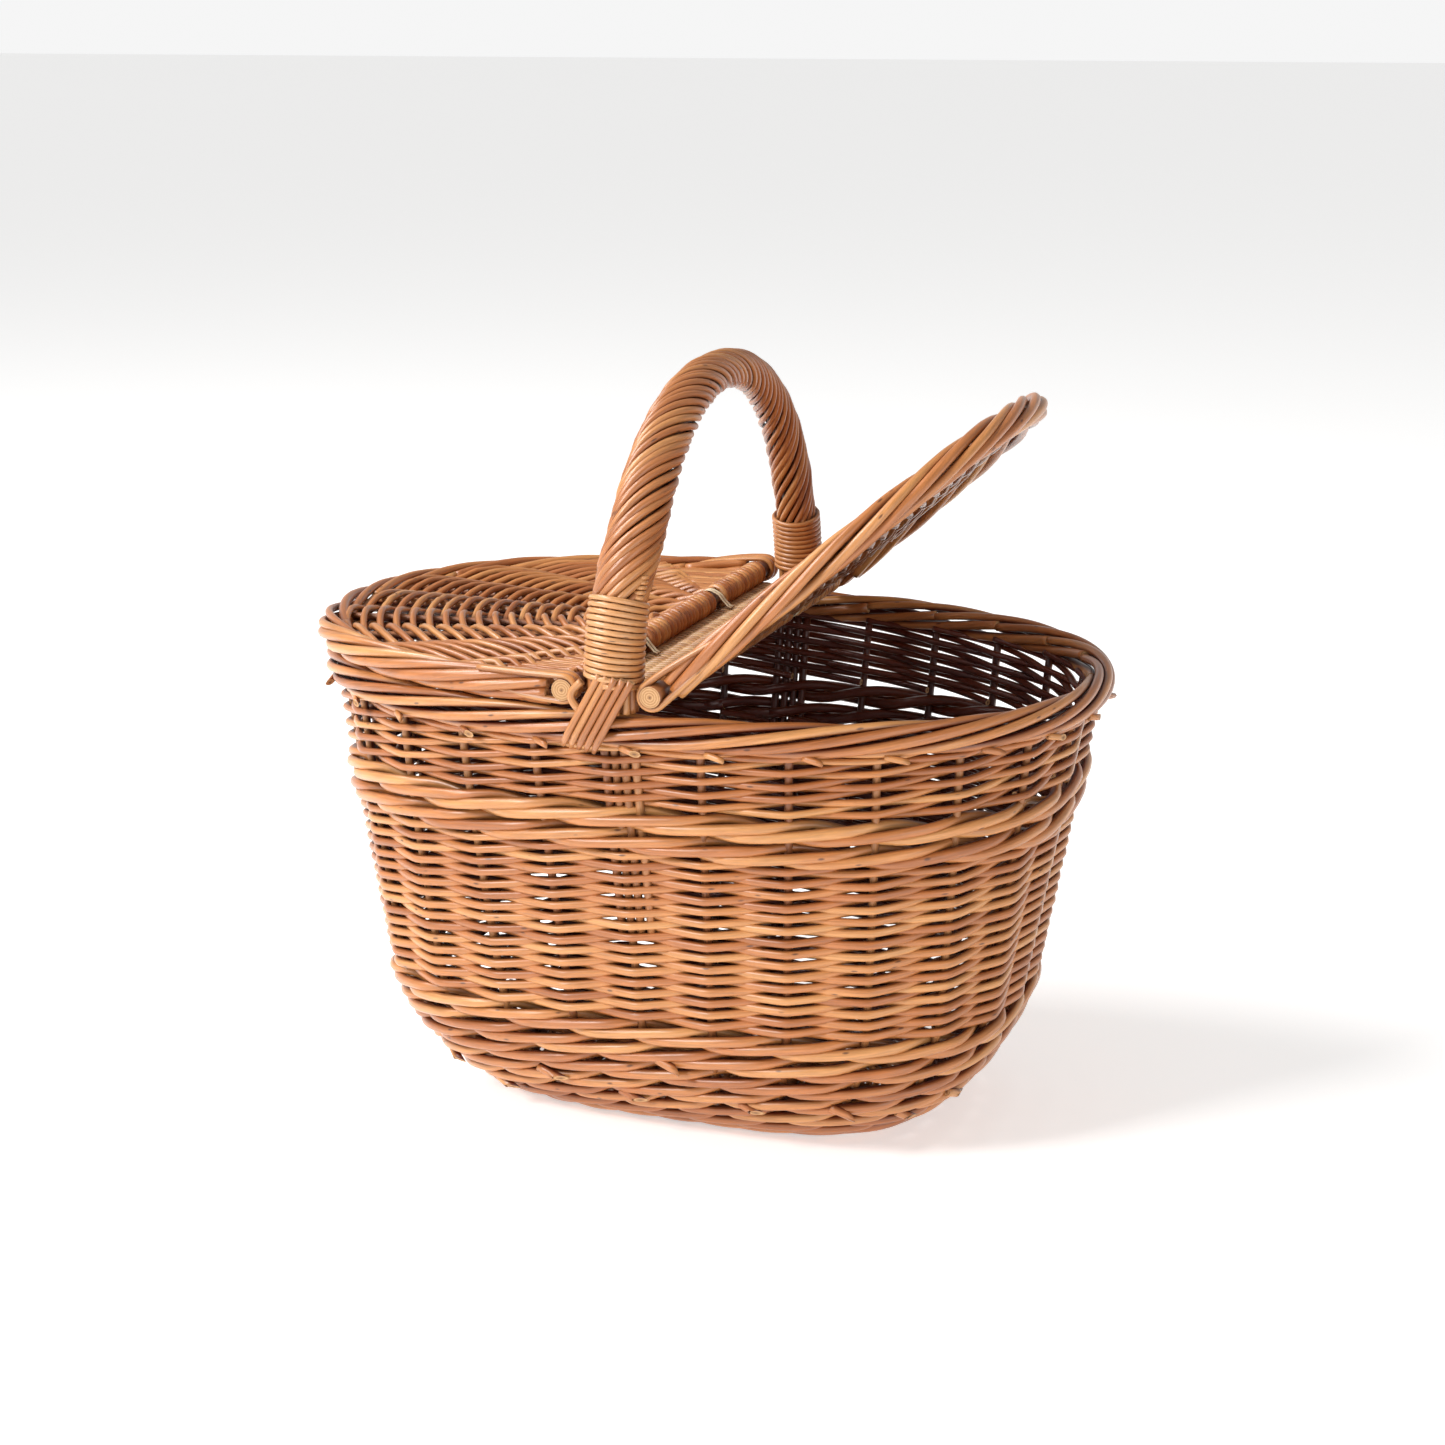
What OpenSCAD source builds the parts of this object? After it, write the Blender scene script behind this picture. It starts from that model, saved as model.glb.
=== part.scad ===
/* [Basket body] */
// Length of the basket over the rim, end to end
basket_length = 450; // [370:5:560]
// Width of the basket over the rim, front to back
basket_width = 329; // [275:1:400]
// Height of the rim above the table
rim_height = 264; // [240:1:320]
// How square the rim outline is (2 is a plain ellipse)
rim_squareness = 2.25; // [2:0.05:2.8]
// How square the outline is down at the base
base_squareness = 3.4; // [2.4:0.1:4]
// How much smaller the wall would be at the table, along the length, without its rounded foot
wall_taper_length = 46; // [20:1:70]
// The same taper across the width
wall_taper_width = 51; // [20:1:60]
// How far the rounded foot draws in along the length at each end
foot_draw_length = 65; // [40:1:80]
// How far the rounded foot draws in at the front and the back
foot_draw_width = 47; // [30:1:58]
// Height at which the rounded foot runs into the straight wall
foot_height = 74; // [50:1:100]
// How full the foot's curve is (2 is a quarter of an ellipse)
foot_fullness = 1.7; // [1.4:0.1:2.4]

/* [Woven bands] */
// Thickness of the woven wall
weave_thickness = 6; // [4:0.5:8]
// Height of the heavy waling round the foot
upsett_height = 80; // [55:1:100]
// Height of the bottom edge of the belt of waling round the wall
belt_bottom = 184; // [150:1:195]
// Height of the belt of waling
belt_height = 24; // [12:1:30]
// How far the belt of waling stands out from the wall
belt_bulge = 4; // [1:0.5:7]
// Height of the plaited border on the rim
border_height = 19; // [12:1:26]
// Width of the plaited border, outside to inside
border_width = 16; // [13:0.5:20]
// Number of upright stakes in the wall
stake_count = 26; // [16:2:36]
// Thickness of a stake
stake_diameter = 5; // [3:0.2:6]

/* [Base] */
// Thickness of the woven base
base_thickness = 5; // [3:0.5:7]
// Thickness of the short sticks across the base
cross_stick_diameter = 7; // [5:0.5:9]
// Number of short sticks across the base
cross_stick_count = 7; // [3:2:9]
// Thickness of the long sticks threaded through the short ones
long_stick_diameter = 3.2; // [2:0.2:4]
// Number of long sticks
long_stick_count = 3; // [2:1:4]

/* [Handle] */
// Height of the handle's centre line above the rim
handle_rise = 156; // [120:1:200]
// How far the feet of the handle stand in from the rim's outer edge
handle_inset = 11.5; // [8:0.5:14]
// How square the arch of the handle is (2 is a plain ellipse)
handle_squareness = 2.1; // [2:0.05:2.8]
// Thickness of the roped handle
rope_diameter = 28; // [22:0.5:34]
// Thickness of the bow inside the roping
bow_diameter = 16; // [10:0.5:18]
// Depth of the hollows between the strands of the roping
strand_depth = 1.2; // [0.4:0.1:1.8]
// How far the strands turn round the bow from one foot to the other, in degrees
rope_twist = 720; // [0:30:1440]
// Thickness of the skein collars at the feet of the handle
collar_thickness = 1.8; // [1.2:0.1:3]
// Height of the bottom of both collars above the rim
collar_bottom = 13; // [6:1:20]
// Height of the top of the front collar above the rim
front_collar_top = 61; // [35:1:80]
// Height of the top of the rear collar above the rim
rear_collar_top = 47; // [35:1:80]
// Thickness of the rods that cross the border below each collar
tail_diameter = 4.8; // [3:0.2:6]
// Thickness of the liners that carry the handle down inside the wall
liner_diameter = 5; // [3:0.2:6]
// How far the liners run down inside the wall below the belt of waling
liner_below_belt = 50; // [20:1:80]

/* [Lids] */
// How far the lids overhang the rim at the two ends
lid_overhang = 5; // [0:0.5:12]
// Height of the hinge sticks' centre line above the rim
hinge_height = 11; // [9:0.1:18]
// Thickness of a hinge stick
hinge_stick_diameter = 9; // [7:0.2:12]
// Thickness of the rods that turn round the ends of a hinge stick
turn_rod_diameter = 3.5; // [2.5:0.1:4.5]
// Thickness of the plaited border of a lid
lid_border_thickness = 16.5; // [12:0.5:20]
// Width of the plaited border of a lid
lid_border_width = 20; // [14:0.5:26]
// Thickness of the woven middle of a lid
lid_weave_thickness = 7; // [4:0.5:9]
// Thickness of the ribs under a lid
rib_diameter = 5.2; // [3:0.2:6]
// Thickness of the weavers wrapped round a hinge stick
wrapping_thickness = 1.5; // [1:0.1:2]
// How far the right lid stands open, in degrees
right_lid_open = 41.6; // [0:0.2:85]

/* [Bridge and hinge loops] */
// Thickness of the sticks in the bridge between the lids
bridge_stick_diameter = 4; // [2.5:0.1:4.5]
// Thickness of the fine weave of the bridge
bridge_weave_thickness = 3; // [2:0.1:4]
// Distance of the hinge loops from the middle of a hinge stick
loop_offset = 60; // [30:1:100]
// Width of a hinge loop along its stick
loop_width = 6; // [4:0.5:10]

/* [Hidden] */
// Clearances
sliver = 0.1;
running_gap = 0.05;
moving_gap = 0.4;
row_gap = 0.15;
// Smoothness
round_steps = 96;
oval_steps = 96;
arch_steps = 44;
rope_strands = 10;
rope_sides = 2 * rope_strands;
stake_sides = 6;
lid_steps = 44;
// Outline of the rim
rim_a = basket_length / 2;
rim_b = basket_width / 2;
// Outline of the straight wall at its top and at the table
wall_top_inset = 0.03;
wall_top = rim_height - border_height - 1;
top_a = rim_a * (1 - wall_top_inset);
top_b = rim_b * (1 - wall_top_inset);
low_a = top_a - wall_taper_length;
low_b = top_b - wall_taper_width;
belt_top = belt_bottom + belt_height;
// Base
base_a = low_a - foot_draw_length;
base_b = low_b - foot_draw_width;
base_rim_height = base_thickness + 2.5;
cross_stick_radius = cross_stick_diameter / 2;
cross_stick_z = base_thickness + cross_stick_radius;
cross_stick_length = 2 * base_b * 0.8;
cross_stick_spread = base_a * 1.4;
long_stick_radius = long_stick_diameter / 2;
long_stick_length = base_a * 1.76;
long_stick_spread = cross_stick_length * 0.42;
// Stakes
stake_radius = stake_diameter / 2;
stake_gap = 0.8;
stake_lift = 3;
stake_depth = weave_thickness + stake_radius + stake_gap;
stake_bottom = base_rim_height + 2;
stake_top = wall_top + 0.7;
// Handle
handle_foot = rim_b - handle_inset;
rope_radius = rope_diameter / 2;
bow_radius = bow_diameter / 2;
collar_radius = rope_radius + collar_thickness;
foot_lift = sliver;
// Hinges
stick_radius = hinge_stick_diameter / 2;
turn_radius = stick_radius + turn_rod_diameter;
wrapping_radius = stick_radius + wrapping_thickness;
hinge_x = collar_radius + moving_gap + turn_radius;
hinge_z = rim_height + hinge_height;
turn_length = 12;
turn_reach = turn_radius + 10;
lid_a = rim_a + lid_overhang;
lid_b = rim_b + 1;
lid_bottom = 0.3 - hinge_height;
lid_top = lid_bottom + lid_border_thickness;
stick_half = lid_b - 1.2;
lid_weave_top = lid_top - 2.8;
lid_weave_bottom = lid_weave_top - lid_weave_thickness;
lid_weave_inset = lid_border_width + 2 * sliver;
wrapping_half = lid_b - lid_border_width - 1;
rib_radius = rib_diameter / 2;
rib_z = lid_weave_bottom - sliver - rib_radius;
rib_pairs = 4;
rib_spacing = 16;
rib_fan = 17;
rib_inset = lid_border_width + 4;
// Bridge and loops
loop_radius = wrapping_radius + 0.2;
weave_start = wrapping_radius + 0.5;
bridge_half = hinge_x - weave_start;
bridge_reach = handle_foot - rope_radius - moving_gap;
bridge_stick_radius = bridge_stick_diameter / 2;
bridge_stick_z = rim_height + sliver + bridge_stick_radius;
bridge_weave_z = bridge_stick_z + bridge_stick_radius + sliver;
bridge_stick_count = 5;
loop_gap = loop_width + 2 * moving_gap;

$fn = round_steps;

// Outline of the woven wall at each height
function foot_curve(z) = let (left = max(0, 1 - z / foot_height))
    1 - pow(1 - pow(left, foot_fullness), 1 / foot_fullness);
function wall_a(z) = low_a + wall_taper_length * z / wall_top - foot_draw_length * foot_curve(z);
function wall_b(z) = low_b + wall_taper_width * z / wall_top - foot_draw_width * foot_curve(z);
function wall_n(z) = base_squareness + (rim_squareness - base_squareness) * min(1, z / wall_top);
function wall_lean(z) = (wall_a(z + 1) - wall_a(z - 1)) / 2;
// Sideways distance that gives a true thickness h through the leaning wall
function across(z, h) = h * sqrt(1 + pow(wall_lean(z), 2));
// Point of a squared oval in direction t
function oval_k(t, n) = pow(pow(abs(cos(t)), n) + pow(abs(sin(t)), n), -1 / n);
function oval(t, a, b, n, z) = [a * cos(t) * oval_k(t, n), b * sin(t) * oval_k(t, n), z];
function wall_point(t, z, d) = oval(t, wall_a(z) + d, wall_b(z) + d, wall_n(z), z);
function rim_point(t, z, d) = oval(t, rim_a + d, rim_b + d, rim_squareness, z);
// Even spacing of the stakes along the oval, counted from the middle of the front
front_angle = -90;
walk_step = 2;
mid_z = (belt_bottom + wall_top) / 2;
function walk_point(i) = wall_point(front_angle + i * walk_step, mid_z, 0);
walk = [for (i = 0, s = 0; i <= 360 / walk_step; i = i + 1,
    s = s + norm(walk_point(i) - walk_point(i - 1))) [s, front_angle + i * walk_step]];
walk_length = walk[len(walk) - 1][0];
function stake_angle(k) = lookup((k / stake_count) * walk_length, walk);
// Unit vector
function unit(v) = v / norm(v);
// Arch of the handle: centre, outward direction
function arch_point(t) = [0, -handle_foot * cos(t) * oval_k(t, handle_squareness),
    rim_height + foot_lift + handle_rise * sin(t) * oval_k(t, handle_squareness)];
function arch_along(t) = unit(arch_point(min(180, t + 1)) - arch_point(max(0, t - 1)));
function arch_out(t) = (t <= 0) ? [0, -1, 0] : (t >= 180) ? [0, 1, 0]
    : unit(cross([1, 0, 0], arch_along(t)));
function leg_angle(h) = asin(min(1, h / handle_rise));

// Heights at which the heavy waling and the stakes bend
function foot_levels() = [for (f = [0, 0.11, 0.28, 0.55, 1])
    stake_bottom + (upsett_height - row_gap - stake_bottom) * f];

// Closed skin over a list of rings; a ring of rings when looped, else capped
module skin(rings, looped = false) {
    m = len(rings);
    k = len(rings[0]);
    pts = [for (r = rings) for (p = r) p];
    last = looped ? m - 1 : m - 2;
    sides = [for (i = [0:last]) for (j = [0:k - 1]) for (h = [0, 1])
        let (a = i * k + j, b = i * k + (j + 1) % k,
            c = ((i + 1) % m) * k + (j + 1) % k, d = ((i + 1) % m) * k + j)
        h == 0 ? [a, b, c] : [a, c, d]];
    caps = looped ? [] : [[for (j = [k - 1:-1:0]) j], [for (j = [0:k - 1]) (m - 1) * k + j]];
    polyhedron(points = pts, faces = concat(sides, caps), convexity = 8);
}

// Band of the wall: a profile of [sideways offset, height] carried round the oval
module wall_band(profile) {
    skin([for (i = [0:oval_steps - 1]) let (t = 360 * i / oval_steps)
        [for (p = profile) wall_point(t, p[1], p[0])]], true);
}

// Round rod between two points
module rod(p, q, r) {
    v = q - p;
    turn = atan2(v[1], v[0]);
    tilt = acos(v[2] / norm(v));
    translate(p)
        rotate([0, tilt, turn])
            cylinder(r = r, h = norm(v));
}

// Solid or hollow tube along the handle's arch, from angle t0 to t1
module arch_skin(radius_outer, radius_inner, t0, t1, steps, twist, ripple) {
    outer = [for (i = [0:steps]) let (t = t0 + (t1 - t0) * i / steps, s = twist * t / 180)
        [for (j = [0:rope_sides - 1]) let (f = 360 * j / rope_sides + s,
            r = radius_outer - (j % 2) * ripple)
            arch_point(t) + r * cos(f) * arch_out(t) + r * sin(f) * [1, 0, 0]]];
    inner = [for (i = [steps:-1:0]) let (t = t0 + (t1 - t0) * i / steps, s = twist * t / 180)
        [for (j = [0:rope_sides - 1]) let (f = 360 * j / rope_sides + s)
            arch_point(t) + radius_inner * (cos(f) * arch_out(t) + sin(f) * [1, 0, 0])]];
    skin(concat(outer, inner), true);
}

// --- Base ---

module base_weave() {
    color("BurlyWood")
        linear_extrude(base_thickness)
            polygon([for (i = [0:oval_steps - 1]) let (t = 360 * i / oval_steps,
                p = oval(t, base_a, base_b, base_squareness, 0)) [p[0], p[1]]]);
}

module base_cross_sticks() {
    color("Peru")
        difference() {
            for (i = [0:cross_stick_count - 1]) {
                x = cross_stick_spread * (i / (cross_stick_count - 1) - 0.5);
                rod([x, -cross_stick_length / 2, cross_stick_z],
                    [x, cross_stick_length / 2, cross_stick_z], cross_stick_radius);
            }
            for (j = [0:long_stick_count - 1]) {
                y = long_stick_spread * (j / (long_stick_count - 1) - 0.5);
                rod([-long_stick_length, y, cross_stick_z],
                    [long_stick_length, y, cross_stick_z], long_stick_radius + running_gap);
            }
        }
}

module base_long_sticks() {
    color("SandyBrown")
        for (j = [0:long_stick_count - 1]) {
            y = long_stick_spread * (j / (long_stick_count - 1) - 0.5);
            rod([-long_stick_length / 2, y, cross_stick_z],
                [long_stick_length / 2, y, cross_stick_z], long_stick_radius);
        }
}

// --- Wall ---

module upsett_wale() {
    levels = foot_levels();
    low = 1.5;
    gap = row_gap;
    color("Chocolate")
        skin([for (i = [0:oval_steps - 1]) let (t = 360 * i / oval_steps)
            [for (z = concat([low, low + 3], levels)) wall_point(t, z, 0),
             for (j = [4:-1:0]) wall_point(t, levels[j], -across(levels[j], weave_thickness)),
             oval(t, base_a + gap, base_b + gap, base_squareness, base_rim_height),
             oval(t, base_a + gap, base_b + gap, base_squareness, low)]], true);
}

module lower_siding() {
    bottom = upsett_height;
    top = belt_bottom - row_gap;
    levels = [bottom, (bottom + top) / 2, top];
    color("Peru")
        wall_band([for (z = levels) [0, z],
            for (i = [2:-1:0]) [-across(levels[i], weave_thickness), levels[i]]]);
}

module mid_wale() {
    in_low = -across(belt_bottom, weave_thickness);
    in_high = -across(belt_top, weave_thickness);
    edge = belt_height * 0.25;
    top = belt_top - row_gap;
    color("Sienna")
        wall_band([[0, belt_bottom], [belt_bulge, belt_bottom + edge],
            [belt_bulge, belt_top - edge], [0, top], [in_high, top], [in_low, belt_bottom]]);
}

module upper_siding() {
    middle = (belt_top + wall_top) / 2;
    levels = [belt_top, middle, wall_top];
    color("Peru")
        wall_band([for (z = levels) [0, z],
            for (i = [2:-1:0]) [-across(levels[i], weave_thickness), levels[i]]]);
}

// Centre line of a stake, just inside the weave
function stake_line(k, z) = wall_point(stake_angle(k), z, -across(z, stake_depth));
function stake_heights() = concat([stake_bottom + stake_lift],
    [for (i = [1:4]) foot_levels()[i]],
    [for (f = [0.35, 0.7, 1]) upsett_height + (stake_top - upsett_height) * f]);

module stakes() {
    zs = stake_heights();
    color("SaddleBrown")
        for (k = [0:stake_count - 1]) {
            skin([for (i = [0:len(zs) - 1]) let (
                z = zs[i],
                along = unit(stake_line(k, z + 0.5) - stake_line(k, z - 0.5)),
                side = unit(wall_point(stake_angle(k) + 1, z, 0) - wall_point(stake_angle(k) - 1, z, 0)),
                out = unit(cross(side, along)))
                [for (j = [0:stake_sides - 1]) let (f = 360 * j / stake_sides)
                    stake_line(k, z) + stake_radius * (cos(f) * side + sin(f) * out)]]);
        }
}

module border() {
    low = rim_height - border_height;
    soft = 4;
    w = border_width;
    prof = [[-soft, low], [0, low + soft + 1], [0, rim_height - soft - 2], [-soft, rim_height],
        [soft - w, rim_height], [-w, rim_height - soft], [-w, low + soft], [soft - w, low]];
    color("Sienna")
        skin([for (i = [0:oval_steps - 1]) let (t = 360 * i / oval_steps)
            [for (p = prof) rim_point(t, p[1], p[0])]], true);
}

// --- Handle ---

module handle_liners() {
    pitch = liner_diameter + 0.2;
    first = (stake_diameter + liner_diameter) / 2 + 0.2;
    low = belt_bottom - liner_below_belt;
    depth = weave_thickness + liner_diameter / 2 + 0.6;
    for (x = [-first, first, first + pitch]) {
        rod([x, -wall_b(low) + across(low, depth), low],
            [x, -wall_b(wall_top) + across(wall_top, depth), stake_top - 0.6],
            liner_diameter / 2);
    }
}

module front_handle_liners() {
    color("Tan")
        handle_liners();
}

module rear_handle_liners() {
    color("Tan")
        rotate([0, 0, 180])
            handle_liners();
}

module handle_bow() {
    color("Tan")
        skin([for (i = [0:arch_steps]) let (t = 180 * i / arch_steps)
            [for (j = [0:rope_sides - 1]) let (f = 360 * j / rope_sides + rope_twist * t / 180)
                arch_point(t) + bow_radius * (cos(f) * arch_out(t) + sin(f) * [1, 0, 0])]]);
}

module handle_roping() {
    color("Chocolate")
        arch_skin(rope_radius, bow_radius + sliver, 0, 180, arch_steps, rope_twist, strand_depth);
}

module collar(t0, t1) {
    clear_radius = (rope_radius + sliver) / cos(180 / rope_sides);
    arch_skin(collar_radius, clear_radius, t0, t1, 8, 0, 0);
}

module front_collar() {
    color("DarkGoldenrod")
        collar(leg_angle(collar_bottom), leg_angle(front_collar_top));
}

module rear_collar() {
    color("DarkGoldenrod")
        collar(180 - leg_angle(rear_collar_top), 180 - leg_angle(collar_bottom));
}

// Ends of the roping, crossing the outside of the border on a slant
module handle_tails() {
    count = 4;
    slant = 20;
    drop = 26;
    pitch = tail_diameter * 1.45;
    tilt = atan(slant / drop);
    top = rim_height + foot_lift - row_gap - tail_diameter / 2 * sin(tilt);
    y = -rim_b - tail_diameter / 2 - 0.5;
    for (i = [0:count - 1]) {
        x = (i - (count - 1) / 2) * pitch;
        rod([x + slant / 2, y, top], [x - slant / 2, y, top - drop],
            tail_diameter / 2);
    }
}

module front_handle_tails() {
    color("Chocolate")
        handle_tails();
}

module rear_handle_tails() {
    color("Chocolate")
        rotate([0, 0, 180])
            handle_tails();
}

// --- Bridge and hinge loops ---

module bridge_sticks() {
    spread = 2 * (bridge_half - bridge_stick_radius - 1);
    color("Tan")
        for (i = [0:bridge_stick_count - 1]) {
            x = spread * (i / (bridge_stick_count - 1) - 0.5);
            rod([x, -bridge_reach, bridge_stick_z], [x, bridge_reach, bridge_stick_z],
                bridge_stick_radius);
        }
}

module bridge_weave() {
    color("Wheat")
        translate([-bridge_half, -bridge_reach, bridge_weave_z])
            cube([2 * bridge_half, 2 * bridge_reach, bridge_weave_thickness]);
}

// Loop round a hinge stick, tied back to the edge of the bridge
module hinge_loop(side, end) {
    strap_low = bridge_weave_z - hinge_z;
    strap_high = -1;
    strap_near = stick_radius;
    translate([side * hinge_x, end * loop_offset, hinge_z])
        difference() {
            union() {
                rotate([90, 0, 0])
                    cylinder(r = loop_radius, h = loop_width, center = true);
                translate([side > 0 ? -weave_start : strap_near, -loop_width / 2, strap_low])
                    cube([weave_start - strap_near, loop_width, strap_high - strap_low]);
            }
            rotate([90, 0, 0])
                cylinder(r = stick_radius + running_gap, h = loop_width + 2, center = true);
        }
}

module left_front_hinge_loop() {
    color("Ivory")
        hinge_loop(-1, -1);
}

module left_rear_hinge_loop() {
    color("Ivory")
        hinge_loop(-1, 1);
}

module right_front_hinge_loop() {
    color("Ivory")
        hinge_loop(1, -1);
}

module right_rear_hinge_loop() {
    color("Ivory")
        hinge_loop(1, 1);
}

// --- Lids: drawn shut, as the right-hand one, about its own hinge line ---

module place_left() {
    translate([-hinge_x, 0, hinge_z])
        rotate([0, 0, 180])
            children();
}

module place_right() {
    translate([hinge_x, 0, hinge_z])
        rotate([0, -right_lid_open, 0])
            children();
}

module hinge_stick() {
    rotate([90, 0, 0])
        cylinder(r = stick_radius, h = 2 * stick_half, center = true);
}

module stick_wrapping() {
    difference() {
        rotate([90, 0, 0])
            cylinder(r = wrapping_radius, h = 2 * wrapping_half, center = true);
        rotate([90, 0, 0])
            cylinder(r = stick_radius + running_gap, h = 2 * wrapping_half + 2, center = true);
        for (end = [-1, 1]) {
            translate([-wrapping_radius - 1, end * loop_offset - loop_gap / 2, -wrapping_radius - 1])
                cube([2 * wrapping_radius + 2, loop_gap, 2 * wrapping_radius + 2]);
        }
    }
}

// Direction in which an oval of half sizes a, b crosses the line x from the middle of the basket
function side_y(x, b, a) = b * pow(1 - pow(x / a, rim_squareness), 1 / rim_squareness);
function side_angle(x, a, b) = atan2(side_y(x, b, a) / b, x / a);

module lid_border() {
    x0 = hinge_x + turn_reach + sliver;
    soft = 4;
    w = lid_border_width;
    prof = [[-soft, lid_bottom], [0, lid_bottom + soft + 1], [0, lid_top - soft - 1],
        [-soft, lid_top], [soft - w, lid_top], [-w, lid_top - soft], [-w, lid_bottom + soft],
        [soft - w, lid_bottom]];
    translate([-hinge_x, 0, 0])
        skin([for (i = [0:lid_steps]) let (f = 2 * i / lid_steps - 1)
            [for (p = prof) let (a = lid_a + p[0], b = lid_b + p[0])
                oval(f * side_angle(x0, a, b), a, b, rim_squareness, p[1])]]);
}

module lid_weave() {
    x0 = hinge_x + weave_start;
    a = lid_a - lid_weave_inset;
    b = lid_b - lid_weave_inset;
    t0 = side_angle(x0, a, b);
    translate([-hinge_x, 0, lid_weave_bottom])
        linear_extrude(lid_weave_thickness)
            polygon([for (i = [0:lid_steps]) let (f = 2 * i / lid_steps - 1,
                p = oval(f * t0, a, b, rim_squareness, 0)) [p[0], p[1]]]);
}

module lid_ribs() {
    a = lid_a - rib_inset;
    b = lid_b - rib_inset;
    for (i = [-rib_pairs:rib_pairs]) {
        p = oval(i * rib_fan, a, b, rim_squareness, rib_z);
        rod([weave_start + 2, i * rib_spacing, rib_z], [p[0] - hinge_x, p[1], rib_z], rib_radius);
    }
}

// Border rods turned round one end of the hinge stick, like a letter U
module border_turn(end) {
    translate([0, end * (stick_half - 0.6 - turn_length / 2), 0])
        rotate([90, 0, 0])
            linear_extrude(turn_length, center = true)
                difference() {
                    union() {
                        circle(r = turn_radius);
                        translate([0, -turn_radius])
                            square([turn_reach, 2 * turn_radius]);
                    }
                    circle(r = stick_radius + running_gap);
                    translate([stick_radius, -stick_radius])
                        square([turn_reach, 2 * stick_radius]);
                    translate([0, -stick_radius - running_gap])
                        square([stick_radius + 1, 2 * (stick_radius + running_gap)]);
                }
}

module left_hinge_stick() {
    color("SaddleBrown")
        place_left()
            hinge_stick();
}

module left_stick_wrapping() {
    color("Peru")
        place_left()
            stick_wrapping();
}

module left_lid_ribs() {
    color("SaddleBrown")
        place_left()
            lid_ribs();
}

module left_lid_weave() {
    color("BurlyWood")
        place_left()
            lid_weave();
}

module left_lid_border() {
    color("Chocolate")
        place_left()
            lid_border();
}

module left_front_border_turn() {
    color("Sienna")
        place_left()
            border_turn(1);
}

module left_rear_border_turn() {
    color("Sienna")
        place_left()
            border_turn(-1);
}

module right_hinge_stick() {
    color("SaddleBrown")
        place_right()
            hinge_stick();
}

module right_stick_wrapping() {
    color("Peru")
        place_right()
            stick_wrapping();
}

module right_lid_ribs() {
    color("SaddleBrown")
        place_right()
            lid_ribs();
}

module right_lid_weave() {
    color("BurlyWood")
        place_right()
            lid_weave();
}

module right_lid_border() {
    color("Chocolate")
        place_right()
            lid_border();
}

module right_front_border_turn() {
    color("Sienna")
        place_right()
            border_turn(-1);
}

module right_rear_border_turn() {
    color("Sienna")
        place_right()
            border_turn(1);
}

base_weave();
base_cross_sticks();
base_long_sticks();
upsett_wale();
lower_siding();
mid_wale();
upper_siding();
stakes();
border();
front_handle_liners();
rear_handle_liners();
handle_bow();
handle_roping();
front_collar();
rear_collar();
front_handle_tails();
rear_handle_tails();
bridge_sticks();
bridge_weave();
left_front_hinge_loop();
left_rear_hinge_loop();
right_front_hinge_loop();
right_rear_hinge_loop();
left_hinge_stick();
left_stick_wrapping();
left_lid_ribs();
left_lid_weave();
left_lid_border();
left_front_border_turn();
left_rear_border_turn();
right_hinge_stick();
right_stick_wrapping();
right_lid_ribs();
right_lid_weave();
right_lid_border();
right_front_border_turn();
right_rear_border_turn();
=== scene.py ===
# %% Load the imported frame
from math import cos, pi, radians, sin

import bpy
import numpy as np
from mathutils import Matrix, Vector


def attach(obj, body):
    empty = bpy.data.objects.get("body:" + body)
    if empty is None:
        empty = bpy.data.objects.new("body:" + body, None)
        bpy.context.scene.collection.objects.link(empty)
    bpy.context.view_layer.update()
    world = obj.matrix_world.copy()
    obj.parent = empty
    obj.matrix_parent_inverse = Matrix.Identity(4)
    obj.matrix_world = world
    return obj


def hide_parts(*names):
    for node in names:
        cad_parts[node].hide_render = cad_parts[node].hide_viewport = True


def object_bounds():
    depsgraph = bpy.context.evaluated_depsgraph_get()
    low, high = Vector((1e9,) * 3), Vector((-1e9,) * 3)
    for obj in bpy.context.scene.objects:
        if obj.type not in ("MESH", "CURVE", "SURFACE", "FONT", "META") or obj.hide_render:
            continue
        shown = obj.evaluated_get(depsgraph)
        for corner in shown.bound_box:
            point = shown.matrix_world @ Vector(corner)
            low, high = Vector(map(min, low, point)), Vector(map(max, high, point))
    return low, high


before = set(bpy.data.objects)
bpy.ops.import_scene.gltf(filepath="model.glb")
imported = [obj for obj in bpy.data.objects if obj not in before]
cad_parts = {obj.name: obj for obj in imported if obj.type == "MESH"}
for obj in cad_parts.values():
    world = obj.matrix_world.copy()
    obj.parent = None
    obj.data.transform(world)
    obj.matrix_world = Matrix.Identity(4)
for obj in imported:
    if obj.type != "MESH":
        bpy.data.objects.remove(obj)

cad_box = [list(corner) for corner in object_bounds()]
print("CAD box in metres:", cad_box)

# %% [markdown]
# A willow picnic basket is made of nothing but rods. Every wall, border, lid and handle is a
# bundle of round sticks that go over and under each other. It could be faked with a bump
# texture on smooth shells, but a real weave has see-through slits, shadows inside it and a
# ragged outline. So each rod is modelled as its own tube, and this file is about where the
# rods run. Lengths are in millimetres until the mesh is made.

# %% Units and the one source of chance
MM = 0.001
chance = np.random.default_rng(26)
print("one millimetre is", MM, "m")

# %% [markdown]
# The sizes of the basket's wall. They follow those of the CAD model, so that the rods fall
# where its plain walls are: a rounded foot, a wall that leans out, and a squarish
# oval that gets rounder towards the rim.

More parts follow.
